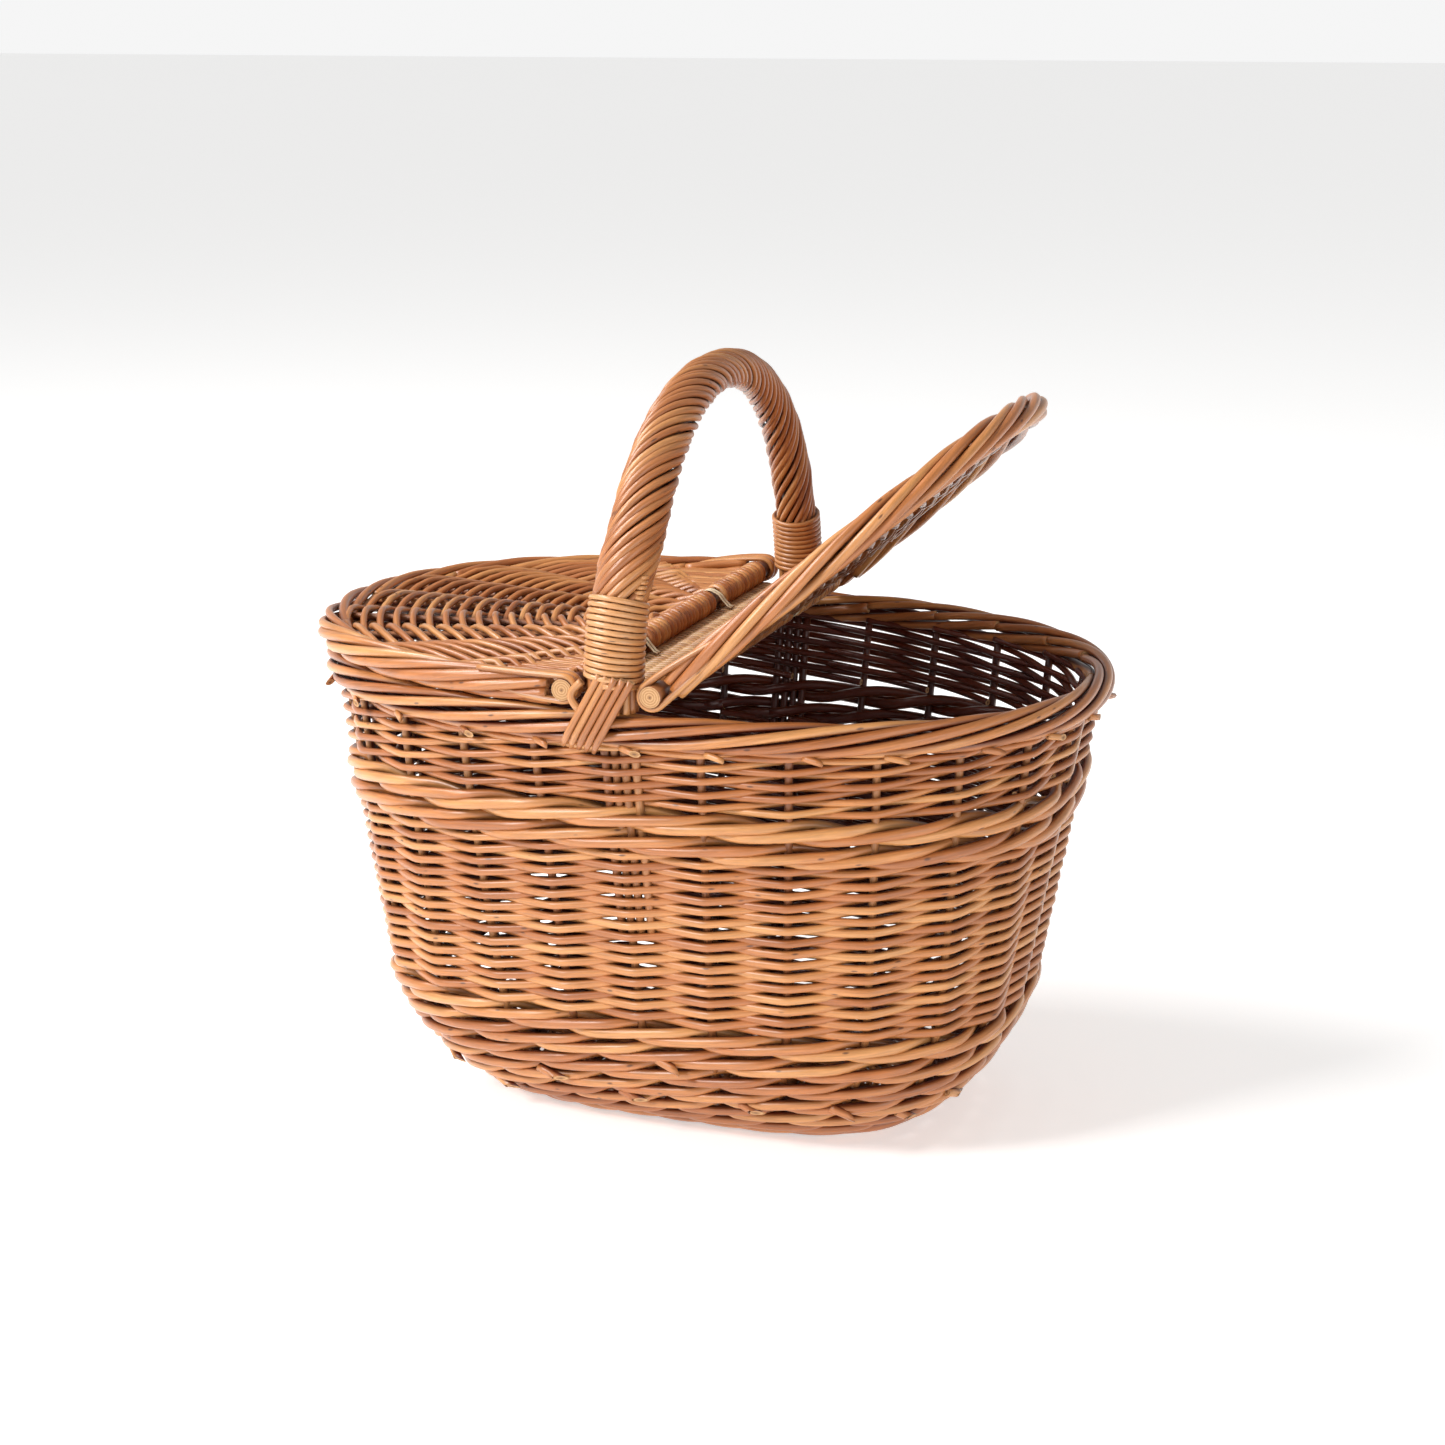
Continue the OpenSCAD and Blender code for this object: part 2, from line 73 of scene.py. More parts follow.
# %% Sizes of the basket
RIM_LENGTH, RIM_WIDTH, RIM_HEIGHT = 450, 329, 264
RIM_SQUARENESS, BASE_SQUARENESS = 2.25, 3.4
LOW_A, LOW_B = 0.97 * RIM_LENGTH / 2 - 46, 0.97 * RIM_WIDTH / 2 - 51
TAPER_A, TAPER_B = 46, 51
FOOT_A, FOOT_B, FOOT_HEIGHT, FOOT_FULLNESS = 65, 47, 74, 1.7
WALL_TOP = 244
UPSETT_TOP, BELT_BOTTOM, BELT_TOP = 80, 184, 208
STAKES = 26
STAKE_RADIUS = 2.5


def unit(vectors):
    """The same directions at length one."""
    return vectors / np.linalg.norm(vectors, axis=-1, keepdims=True)


def walked(points):
    """Distance along a line of points, at each of them."""
    return np.concatenate([[0], np.cumsum(np.linalg.norm(np.diff(points, axis=0), axis=1))])


def oval(angle, a, b, squareness):
    """Point of a squared oval in direction angle, as x and y."""
    c, s = np.cos(angle), np.sin(angle)
    reach = (np.abs(c) ** squareness + np.abs(s) ** squareness) ** (-1 / squareness)
    return a * c * reach, b * s * reach


def foot_curve(z):
    left = np.clip(1 - z / FOOT_HEIGHT, 0, 0.9999)
    return 1 - (1 - left ** FOOT_FULLNESS) ** (1 / FOOT_FULLNESS)


def wall_halves(z):
    """Half length and half width of the wall's outside at height z."""
    foot = foot_curve(z)
    return (LOW_A + TAPER_A * z / WALL_TOP - FOOT_A * foot,
            LOW_B + TAPER_B * z / WALL_TOP - FOOT_B * foot)


def wall_surface(angle, z):
    a, b = wall_halves(z)
    squareness = BASE_SQUARENESS + (RIM_SQUARENESS - BASE_SQUARENESS) * np.minimum(1, z / WALL_TOP)
    x, y = oval(angle, a, b, squareness)
    return np.stack([x, y, z + 0 * x], -1)


print("base is", [round(float(h) * 2) for h in wall_halves(np.array(0.0))], "mm long and wide")

# %% [markdown]
# Hand work is never level. The belt of waling dips a few millimetres at the left end, where
# the maker pulled harder, and the rows waver. One small function bends all heights on the
# wall, so that every row follows its neighbours and nothing collides.


# %% Points on and near the woven wall
def uneven(angle, z):
    """Height z moved by the waver of the rows, none at the foot and at the border."""
    share = np.interp(z, [60, 150, 196, 236, 246], [0, 0.6, 1, 0.35, 0])
    turned = np.mod(angle, 2 * pi)
    dip = -6.5 * np.exp(-((turned - 3.3) / 0.6) ** 2)
    waver = 1.1 * np.sin(3 * turned + 0.7) + 0.6 * np.sin(7 * turned)
    return z + share * (dip + waver)


def outward(angle, z):
    """Unit vector that points straight out of the wall."""
    step = 0.004
    low = np.maximum(z - 0.4, 0.02)
    across = wall_surface(angle + step, z) - wall_surface(angle - step, z)
    upward = wall_surface(angle, z + 0.4) - wall_surface(angle, low)
    return unit(np.cross(across, upward))


def on_wall(angle, z, depth):
    """Point depth outside the wall's skin (negative is inside it), and the way out."""
    z = np.maximum(uneven(angle, z), 0.02)
    out = outward(angle, z)
    return wall_surface(angle, z) + np.asarray(depth)[..., None] * out, out


def smooth(x):
    x = np.clip(x, 0, 1)
    return x * x * (3 - 2 * x)


def core_depth(z):
    """How deep the stakes run: the heavy waling of the foot is thicker than the siding."""
    return -9.2 + 2.7 * smooth((z - 66) / 22)


SPACING_LEVEL = 214
ring = np.radians(np.linspace(-90, 270, 1441))
ring_points = wall_surface(ring, np.full(ring.shape, float(SPACING_LEVEL)))
ring_walk = walked(ring_points)
BAY = ring_walk[-1] / STAKES


def bay_angle(u):
    """Direction of the place u bays to the right of the stake in the middle of the front."""
    turns = np.floor(np.asarray(u) / STAKES)
    return np.interp((u - turns * STAKES) * BAY, ring_walk, ring) + turns * 2 * pi


print("a bay between two stakes is", round(BAY, 1), "mm")

# %% [markdown]
# One rod is a tube swept along its centre line: a ring of corners at each point, turned so
# that the first direction faces out of the work. A curve object with a bevel would do it too,
# but with hundreds of rods plain arrays are quicker, and they can carry a lengthwise and a
# roundwise coordinate for the grain, and one random number for each rod's own colour. A rod
# may taper, be pressed flat, and end in a slanting cut.


# %% Sweep a rod
def sweep(points, radius, facing, flat=1.0, sides=8, cuts=(0, 0), tone=None):
    """One rod as rings of corners. flat squeezes it sideways to the direction it faces."""
    points = np.asarray(points, float)
    count = len(points)
    radius = np.broadcast_to(np.asarray(radius, float), count)
    along = unit(np.gradient(points, axis=0))
    side = unit(np.cross(along, np.broadcast_to(np.asarray(facing, float), points.shape)))
    out = np.cross(side, along)
    turn = 2 * pi * np.arange(sides) / sides + pi
    ring_shape = (np.cos(turn)[None, :, None] * out[:, None]
                  + flat * np.sin(turn)[None, :, None] * side[:, None])
    corners = points[:, None] + radius[:, None, None] * ring_shape
    for end, slant in zip((0, -1), cuts):
        corners[end] += radius[end] * slant * np.cos(turn)[:, None] * along[end]
    disc = [radius[end] * np.stack([np.cos(turn), np.sin(turn)], -1) for end in (0, -1)]
    return {"corners": corners, "length": walked(points), "discs": disc,
            "tone": chance.random() if tone is None else tone}


def joined(rods):
    """Corners, faces and coordinates of many rods as flat arrays."""
    parts = {name: [] for name in ("corners", "loops", "starts", "coords", "tones", "cut")}
    first_corner, first_loop = 0, 0
    for rod in rods:
        rings, sides = rod["corners"].shape[:2]
        i, j = np.meshgrid(np.arange(rings - 1), np.arange(sides), indexing="ij")
        after = (j + 1) % sides
        quads = np.stack([i * sides + j, i * sides + after,
                          (i + 1) * sides + after, (i + 1) * sides + j], -1).reshape(-1, 4)
        down, up = rod["length"][i] * MM, rod["length"][i + 1] * MM
        left, right = j / sides, (j + 1) / sides
        coords = np.stack([down, left, down, right, up, right, up, left], -1).reshape(-1, 2)
        start_cap = np.arange(sides)[::-1]
        end_cap = (rings - 1) * sides + np.arange(sides)
        parts["corners"].append(rod["corners"].reshape(-1, 3) * MM)
        parts["loops"].append(np.concatenate([quads.ravel(), start_cap, end_cap]) + first_corner)
        parts["coords"].append(np.concatenate([coords, rod["discs"][0][::-1] * MM,
                                               rod["discs"][1] * MM]))
        faces = len(quads)
        parts["starts"].append(first_loop + np.concatenate(
            [4 * np.arange(faces), [4 * faces, 4 * faces + sides]]))
        parts["tones"].append(np.full(rings * sides, rod["tone"]))
        parts["cut"].append(np.concatenate([np.zeros(faces, int), [1, 1]]))
        first_corner += rings * sides
        first_loop += 4 * faces + 2 * sides
    return {name: np.concatenate(part) for name, part in parts.items()}


# %% Turn rods into one piece of the basket
def add_object(name, data):
    made = bpy.data.objects.new(name, data)
    bpy.context.scene.collection.objects.link(made)
    return made


def make_piece(name, rods, body, stands_for, finish):
    """One object of many rods, which rides on a body and stands for CAD nodes."""
    data = joined(rods)
    mesh = bpy.data.meshes.new(name)
    mesh.vertices.add(len(data["corners"]))
    mesh.vertices.foreach_set("co", data["corners"].astype(np.float32).ravel())
    mesh.loops.add(len(data["loops"]))
    mesh.loops.foreach_set("vertex_index", data["loops"].astype(np.int32))
    mesh.polygons.add(len(data["starts"]))
    mesh.polygons.foreach_set("loop_start", data["starts"].astype(np.int32))
    mesh.polygons.foreach_set("material_index", data["cut"].astype(np.int32))
    mesh.update(calc_edges=True)
    mesh.polygons.foreach_set("use_smooth", data["cut"] == 0)
    layer = mesh.uv_layers.new(name="rod")
    layer.data.foreach_set("uv", data["coords"].astype(np.float32).ravel())
    tone = mesh.attributes.new("tone", "FLOAT", "POINT")
    tone.data.foreach_set("value", data["tones"].astype(np.float32))
    mesh.materials.append(finish)
    mesh.materials.append(CUT_END)
    piece = add_object(name, mesh)
    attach(piece, body)
    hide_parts(*stands_for)
    triangles = len(data["loops"]) - 2 * len(data["starts"])
    print(name, "has", len(rods), "rods and", triangles, "triangles")


# %% [markdown]
# Buff willow is willow boiled in its bark and then peeled, which stains it from honey to
# red-brown. The eye reads it from four things: each rod has its own shade, the shade drifts
# slowly along a rod, fine fibres run lengthwise, and there are small dark specks where side
# buds were. It is smooth and slightly waxy, so it has a soft satin highlight. All four come
# from noise stretched along the rod's own coordinate.


# %% Colour and node helpers
def linear(hex_colour):
    """An sRGB hex colour as the linear values that shaders use."""
    parts = [int(hex_colour[i:i + 2], 16) / 255 for i in (1, 3, 5)]
    return [p / 12.92 if p <= 0.04045 else ((p + 0.055) / 1.055) ** 2.4 for p in parts] + [1.0]


def add_node(tree, kind, settings=None, **sockets):
    """Adds a node, sets its properties, and gives each socket a value or a link."""
    made = tree.nodes.new("ShaderNode" + kind)
    for key, value in (settings or {}).items():
        setattr(made, key, value)
    for key, value in sockets.items():
        socket = made.inputs[int(key[1:])] if key[0] == "i" and key[1:].isdigit() else made.inputs[
            key.replace("_", " ")]
        if isinstance(value, bpy.types.NodeSocket):
            tree.links.new(value, socket)
        else:
            socket.default_value = value
    return made


def maths(tree, operation, *values):
    """The output of one sum on values or links."""
    inputs = {"i" + str(i): value for i, value in enumerate(values)}
    return add_node(tree, "Math", {"operation": operation}, **inputs).outputs[0]


def remap(tree, value, settings=None, **ends):
    """The output of a value moved from one range to another."""
    return add_node(tree, "MapRange", settings, Value=value, **ends).outputs[0]


def colour_steps(ramp_node, steps):
    """Fills a colour ramp with (place, hex colour) steps."""
    ramp = ramp_node.color_ramp
    while len(ramp.elements) > 1:
        ramp.elements.remove(ramp.elements[-1])
    ramp.elements[0].position = steps[0][0]
    ramp.elements[0].color = linear(steps[0][1])
    for place, shade in steps[1:]:
        ramp.elements.new(place).color = linear(shade)


def new_material(name):
    """A material with an empty node tree, and that tree."""
    material = bpy.data.materials.new(name)
    material.use_nodes = True
    material.node_tree.nodes.clear()
    return material, material.node_tree


# %% The willow finish
def willow(name, shades, roughness=0.4, speck=0.8, painted_shade=1.0):
    """Peeled willow: shades go from the darkest rods to the palest. The last argument is how far
    the side of a rod that faces into the work is darkened, as painted shade."""
    material, tree = new_material(name)
    place = add_node(tree, "UVMap", {"uv_map": "rod"}).outputs[0]
    split = add_node(tree, "SeparateXYZ", Vector=place)
    tone = add_node(tree, "Attribute", {"attribute_name": "tone"}).outputs["Fac"]
    own = maths(tree, "MULTIPLY", tone, 61.0)

    def stretched(per_metre, around):
        """A place on the rod with a number of features per metre and round it."""
        lengthwise = maths(tree, "MULTIPLY", split.outputs[0], float(per_metre))
        roundwise = maths(tree, "MULTIPLY", split.outputs[1], float(around))
        return add_node(tree, "CombineXYZ", X=lengthwise, Y=roundwise,
                        Z=own).outputs[0]

    # The side of each rod that faces into the work is darkened to a red-brown: painted shade for
    # the inside of the wall, the gaps between rods and the underside of the lids.
    facing = maths(tree, "COSINE", maths(tree, "MULTIPLY", split.outputs[1], 2 * pi))
    painted_shade_mask = remap(tree, facing, {"interpolation_type": "SMOOTHSTEP"}, From_Min=-0.7,
                   From_Max=0.5, To_Min=0.0, To_Max=painted_shade)
    # A shade drifts over some 60 mm; fibres are about a millimetre wide and 15 mm long.
    drift = add_node(tree, "TexNoise", Vector=stretched(16, 1.4), Scale=1.0,
                     Detail=2.0).outputs["Fac"]
    fibre = add_node(tree, "TexNoise", Vector=stretched(70, 16), Scale=1.0,
                     Detail=3.0).outputs["Fac"]
    sway = remap(tree, drift, From_Min=0.3, From_Max=0.7, To_Min=-0.24, To_Max=0.24)
    shade_at = add_node(tree, "Math", {"operation": "ADD", "use_clamp": True},
                        i0=tone, i1=sway).outputs[0]
    ramp = add_node(tree, "ValToRGB", Fac=shade_at)
    colour_steps(ramp, shades)
    streak = remap(tree, fibre, From_Min=0.32, From_Max=0.68, To_Min=0.8, To_Max=1.1)
    streaked = add_node(tree, "VectorMath", {"operation": "SCALE"},
                        i0=ramp.outputs[0], Scale=streak).outputs[0]
    # Painted shade: the inward side of each rod is multiplied by a dark red-brown.
    shaded_wood = add_node(tree, "Mix", {"data_type": "RGBA", "blend_type": "MULTIPLY"},
                            i0=painted_shade_mask, i6=streaked, i7=linear("#7C4426")).outputs[2]
    # Buds leave thin dark specks a few millimetres long, every few centimetres.
    bud = add_node(tree, "TexVoronoi", {"feature": "F1"}, Vector=stretched(55, 2.6),
                   Scale=1.0).outputs["Distance"]
    spot = remap(tree, bud, From_Min=0.06, From_Max=0.13, To_Min=speck, To_Max=0.0)
    colour = add_node(tree, "Mix", {"data_type": "RGBA"}, i0=spot,
                      i6=shaded_wood, i7=linear("#4A2512")).outputs[2]
    rough = remap(tree, fibre, To_Min=roughness - 0.08, To_Max=roughness + 0.14)
    relief = add_node(tree, "Bump", Strength=0.45, Distance=0.0004,
                      Height=fibre).outputs[0]
    shader = add_node(tree, "BsdfPrincipled", Base_Color=colour, Roughness=rough,
                      IOR=1.5, Coat_Weight=0.6, Coat_Roughness=0.32, Normal=relief)
    add_node(tree, "OutputMaterial", Surface=shader.outputs[0])
    print("finish", name)
    return material


# %% [markdown]
# Where a rod is cut, the knife leaves a slanting face of bare wood: pale sapwood, faint
# rings and a small brown pith in the middle. The face's own coordinate is its distance from
# the rod's centre line, so the rings fall round it.


# %% The cut end of a rod
RING_WIDTH = 0.0013


def cut_wood(name):
    material, tree = new_material(name)
    place = add_node(tree, "UVMap", {"uv_map": "rod"}).outputs[0]
    patchy = add_node(tree, "TexNoise", Vector=place, Scale=900.0, Detail=2.0)
    reach = add_node(tree, "VectorMath", {"operation": "LENGTH"}, i0=place)
    ragged = remap(tree, patchy.outputs["Fac"], To_Min=-0.0004, To_Max=0.0004)
    radius = maths(tree, "ADD", reach.outputs["Value"], ragged)
    rings = maths(tree, "SINE", maths(tree, "MULTIPLY", radius, 2 * pi / RING_WIDTH))
    ramp = add_node(tree, "ValToRGB", Fac=remap(tree, rings, From_Min=-1.0, To_Min=0.0))
    colour_steps(ramp, [(0.0, "#AD7C4E"), (1.0, "#CDA274")])
    pith = remap(tree, radius, From_Min=0.0004, From_Max=0.0009, To_Min=0.8, To_Max=0.0)
    colour = add_node(tree, "Mix", {"data_type": "RGBA"}, i0=pith,
                      i6=ramp.outputs[0], i7=linear("#5E3620")).outputs[2]
    relief = add_node(tree, "Bump", Strength=0.4, Distance=0.0003,
                      Height=patchy.outputs["Fac"]).outputs[0]
    shader = add_node(tree, "BsdfPrincipled", Base_Color=colour, Roughness=0.72,
                      IOR=1.5, Normal=relief)
    add_node(tree, "OutputMaterial", Surface=shader.outputs[0])
    return material


CUT_END = cut_wood("cut_willow_end")
BUFF = [(0.0, "#A6602C"), (0.35, "#B87039"), (0.7, "#C58045"), (1.0, "#D29356")]
# Each finish darkens the inward side of its rods as painted shade; the lids take half of it, the
# roping and skein a little less.
WEAVER_WILLOW = willow("buff_willow_weaver", BUFF)
WALE_WILLOW = willow("buff_willow_wale", BUFF, roughness=0.38)
LID_WILLOW = willow("buff_willow_of_the_lids", BUFF, roughness=0.38, painted_shade=0.5)
STICK_WILLOW = willow("buff_willow_stick",
                      [(0.0, "#8F522A"), (0.5, "#A96B3B"), (1.0, "#BC804C")], roughness=0.5)
ROPE_WILLOW = willow("buff_willow_roping",
                     [(0.0, "#A96636"), (0.5, "#BA7642"), (1.0, "#C88A52")], roughness=0.36,
                     painted_shade=0.9)
SKEIN_WILLOW = willow("willow_skein",
                      [(0.0, "#B8763F"), (0.5, "#C9884E"), (1.0, "#D59C66")], roughness=0.34,
                      painted_shade=0.8)
PALE_WEAVE = willow("pale_skein_weave",
                    [(0.0, "#A8713F"), (0.5, "#BD8A55"), (1.0, "#CDA06C")], roughness=0.5)
PALE_SKEIN = willow("white_skein", [(0.0, "#D9BE92"), (1.0, "#F0DEBB")], roughness=0.45,
                    speck=0.1)

# %% [markdown]
# The stakes are the basket's uprights. They start under the rounded foot, follow the wall at
# the middle of its thickness and run up into the border. They are spaced evenly along the
# oval, not by angle, as a maker spaces them.

# %% Stakes
stake_heights = np.concatenate([np.linspace(0.4, 8, 9), np.linspace(11, 76, 14),
                                np.linspace(84, 250, 14)])


def stake(k):
    angle = np.full(stake_heights.shape, float(bay_angle(k)))
    points, out = on_wall(angle, stake_heights, core_depth(stake_heights))
    return sweep(points, STAKE_RADIUS * np.linspace(1.04, 0.92, len(points)), out)


make_piece("stakes_of_the_wall", [stake(k) for k in range(STAKES)], "basket", ["stakes"],
           STICK_WILLOW)

# %% [markdown]
# The siding is French randing. As many rods as there are stakes all start at once, each one
# stake to the right of the last, and each goes in front of one stake and behind the next.
# Every stroke lifts a rod by one row, so all of them climb to the right together like the
# threads of a screw. That slow climb, and the columns of short dashes it makes, is what
# gives the wall its look.

# %% Siding
ROW, UPPER_ROW = 3.45, 3.7
LOWER_BAYS, UPPER_BAYS = 30, 10
# How much of a bay the bend round a stake takes up.
BEND = 0.06
# More points where a rod bends sharply round a stake, fewer where it runs straight.
BAY_POINTS = np.array([0, 0.04, 0.09, 0.17, 0.32, 0.5, 0.68, 0.83, 0.91, 0.96])


def bay_noise(bays, size):
    """A small random error at each stake."""
    return chance.normal(0, size, bays + 2)


def randing(bottom, bays, row, butt, tip, flat):
    """The rods of one band of French randing, from height bottom up."""
    rods = []
    for j in range(STAKES):
        x = np.append((np.arange(bays)[:, None] + BAY_POINTS).ravel(), bays)
        stations = np.arange(bays + 2)
        z = bottom + row * x + np.interp(x, stations, bay_noise(bays, 0.3))
        # Straight between stakes, with a tight bend at each one.
        whole = np.round(x)
        off = np.sqrt((x - whole) ** 2 + BEND ** 2) - BEND
        swing = -np.where(whole % 2 == 0, 1, -1) * (1 - off / (np.hypot(0.5, BEND) - BEND))
        radius = np.linspace(butt, tip, len(x)) * (1 + 0.02 * chance.normal())
        swing = swing * (STAKE_RADIUS + radius - 0.6)
        angle = bay_angle(j + x)
        points, out = on_wall(angle, z, core_depth(z) + swing)
        rods.append(sweep(points, radius, out, flat=flat))
    return rods


make_piece("lower_siding_weave", randing(UPSETT_TOP + 1, LOWER_BAYS, ROW, 2.32, 2.06, 1.1),
           "basket", ["lower_siding"], WEAVER_WILLOW)
make_piece("upper_siding_weave", randing(BELT_TOP + 2.5, UPPER_BAYS, UPPER_ROW, 2.2, 2.0, 0.96),
           "basket", ["upper_siding"], WEAVER_WILLOW)

# %% [markdown]
# Waling is heavier work with three rods at once. Each rod passes in front of two stakes and
# behind one, and comes out one stake after the rod before it. On the outside the strokes lie
# two deep and slant like the strands of a rope. Seven rounds of it, called the upsett,
# wrap the rounded foot, and two more make the belt round the middle.

# %% Distance along the wall's profile, from under the foot upwards
profile_z = RIM_HEIGHT * np.linspace(0, 1, 3000) ** 2
profile_a, profile_b = wall_halves(profile_z)
profile_walk = np.concatenate([[0], np.cumsum(np.hypot(
    np.diff(profile_z), np.diff((profile_a + profile_b) / 2)))])


def walk_to(z):
    return float(np.interp(z, profile_z, profile_walk))


print("the foot's curve is", round(walk_to(UPSETT_TOP)), "mm long")

# %% Waling
WALE_STEPS = 7
# A rod's path repeats every three stakes, and 26 doesn't divide by three. So 27 bays of the
# path are spread over the 26 stakes, and each round meets its own start.
STROKES = 27
BACK_BAY = 13
UPSETT_ROUNDS, UPSETT_ROD = 7, 3.0
BELT_ROUNDS, BELT_PITCH, BELT_ROD = 2, 13.4, 3.05


def waling(start, rounds, pitch, radius):
    """Rounds of three rods waled round the wall, from distance start along its profile."""
    rods = []
    for level in range(rounds):
        first_bay = BACK_BAY + chance.integers(-4, 5)
        for strand in range(3):
            x = np.arange(0, (STROKES + 0.3) * WALE_STEPS) / WALE_STEPS
            stroke = np.mod(x, 3)
            front = np.clip((stroke - 0.5) / 2, 0, 1)
            behind = np.mod(stroke + 0.5, 3)
            rise = np.where(behind < 1, np.cos(pi * behind), -np.cos(pi * front))
            depth = np.where(stroke < 1, -np.cos(pi * stroke),
                             np.where(stroke > 2, np.cos(pi * (stroke - 2)), 1.0))
            stations = np.arange(STROKES + 2)
            loose = np.interp(x, stations, chance.normal(0, 0.35, len(stations)))
            walk = start + pitch * (level + 0.5) + 0.27 * pitch * rise + loose
            thick = radius * (1 + 0.05 * np.interp(x, stations,
                                                   chance.normal(0, 1, len(stations))))
            z = np.interp(walk, profile_walk, profile_z)
            swing = depth * (STAKE_RADIUS + radius - 0.2)
            bulge = 0.5 * np.sin(pi * np.clip(stroke - 1, 0, 1))
            u = first_bay + (strand + x) * STAKES / STROKES
            points, out = on_wall(bay_angle(u), z, core_depth(z) + swing + bulge)
            rods.append(sweep(points, thick, out))
    return rods


upsett_pitch = (walk_to(UPSETT_TOP) - 1) / UPSETT_ROUNDS
make_piece("upsett_waling", waling(2.0, UPSETT_ROUNDS, upsett_pitch, UPSETT_ROD), "basket",
           ["upsett_wale"], WALE_WILLOW)
make_piece("belt_waling", waling(walk_to(BELT_BOTTOM) - 1, BELT_ROUNDS, BELT_PITCH, BELT_ROD),
           "basket", ["mid_wale"], WALE_WILLOW)

# %% [markdown]
# The border finishes the rim. Each stake, softened by soaking, is laid down to the right,
# comes out low, climbs over the outside of its neighbours, dives over the top and is cut off
# inside or below. From the side one sees three strands stacked, each rising slowly. Here
# each rod makes one slow turn round the border's core in six bays.

# %% Border of the rim
BORDER_RADIUS = 2.75
BORDER_DEEP, BORDER_TALL = 8, 9.5
BORDER_BAYS = 6
TIP_RADIUS, TIP_DROP = 1.95, 18.2


def rim_place(u, inset, z):
    angle = bay_angle(u)
    x, y = oval(angle, RIM_LENGTH / 2 - inset, RIM_WIDTH / 2 - inset, RIM_SQUARENESS)
    point = np.stack([x, y, z + 0 * x], -1)
    ahead = oval(angle + 0.01, RIM_LENGTH / 2, RIM_WIDTH / 2, RIM_SQUARENESS)
    behind = oval(angle - 0.01, RIM_LENGTH / 2, RIM_WIDTH / 2, RIM_SQUARENESS)
    out = np.stack([ahead[1] - behind[1], behind[0] - ahead[0], 0 * x], -1)
    return point, unit(out)


def border_rod(k):
    x = np.linspace(0, BORDER_BAYS, 64)
    phase = np.radians(-205 + 360 * x / BORDER_BAYS + chance.normal(0, 4))
    centre, out = rim_place(k + x, BORDER_DEEP, RIM_HEIGHT - BORDER_TALL)
    swell = 1 + 0.04 * chance.normal()
    sideways = (BORDER_DEEP - BORDER_RADIUS) * np.cos(phase)
    upward = (BORDER_TALL - BORDER_RADIUS) * np.sin(phase)
    points = centre + sideways[:, None] * out
    points[:, 2] += upward
    facing = out * np.cos(phase)[:, None] + np.array([0, 0, 1]) * np.sin(phase)[:, None]
    return sweep(points, BORDER_RADIUS * swell * np.linspace(1.05, 0.9, len(x)), facing)


def border_tip(k):
    """The cut end of a border rod, which pokes out below the border beside its stake."""
    x = np.linspace(0, 1, 5)
    u = k + 0.1 + (0.16 + 0.04 * chance.random()) * x + 0.05 * chance.normal()
    centre, out = rim_place(u, 5.5 - 4.0 * x, RIM_HEIGHT - TIP_DROP - 1.6 * x)
    slant = chance.choice([-1.6, 1.4, 1.8])
    return sweep(centre, TIP_RADIUS * np.linspace(1, 0.9, 5), out, cuts=(0, slant))


border_rods = [border_rod(k) for k in range(STAKES)] + [border_tip(k) for k in range(STAKES)]
make_piece("rim_border", border_rods, "basket", ["border"], WALE_WILLOW)

# %% [markdown]
# When a rod runs out, a new one is pushed in beside it, and the two cut ends are left to
# poke out of the waling. Such stubs, cut on a slant, are scattered over the foot, and three
# more stick out of the belt.

# %% Cut ends in the waling
STUBS = 22
BELT_STUB_BAYS = (-6.2, 9.1, 12.4)


def stub(u, walk, length, radius, proud):
    x = np.linspace(0, 1, 5)
    z = np.interp(walk - 2.5 * x, profile_walk, profile_z)
    depth = -3.2 + proud * x
    points, out = on_wall(bay_angle(u + length / BAY * x), z, depth)
    return sweep(points, radius, out, cuts=(0, chance.choice([-1.8, 1.5])))


foot_walk = walk_to(UPSETT_TOP)
stubs = [stub(STAKES * (i + 0.6 * chance.random()) / STUBS,
              foot_walk * (0.3 + 0.62 * chance.random()),
              12 + 5 * chance.random(), 2.6, 3.6) for i in range(STUBS)]
stubs += [stub(u, walk_to(BELT_BOTTOM + 8), 14, 2.9, 6.0) for u in BELT_STUB_BAYS]
make_piece("cut_ends_in_the_waling", stubs, "basket", [], WALE_WILLOW)

# %% [markdown]
# The base has short sticks across it, long thin sticks through those, and weavers that go
# round and round. In a real base the weavers pass over one stick and under the next. Here
# they lie in waves below the sticks, since the base hardly shows.

# %% Base
BASE_A, BASE_B = [float(h) for h in wall_halves(np.array(0.0))]
BASE_ROUNDS, BASE_WEAVER = 24, 1.9
STICK_LEVEL, CROSS_STICK, LONG_STICK = 8.5, 3.5, 1.6
base_rods = []
for i in range(BASE_ROUNDS):
    x = np.linspace(0, 2 * pi, 150)
    share = 1 - (i + 0.3) / (BASE_ROUNDS + 1)
    px, py = oval(x, BASE_A * share + 1, BASE_B * share + 1, BASE_SQUARENESS)
    weave = 2.7 + 0.8 * np.cos(14 * x + pi * i)
    ring_line = np.stack([px, py, weave], -1)
    base_rods.append(sweep(ring_line, BASE_WEAVER, (0, 0, 1)))
make_piece("base_weaving", base_rods, "basket", ["base_weave"],
           WEAVER_WILLOW)

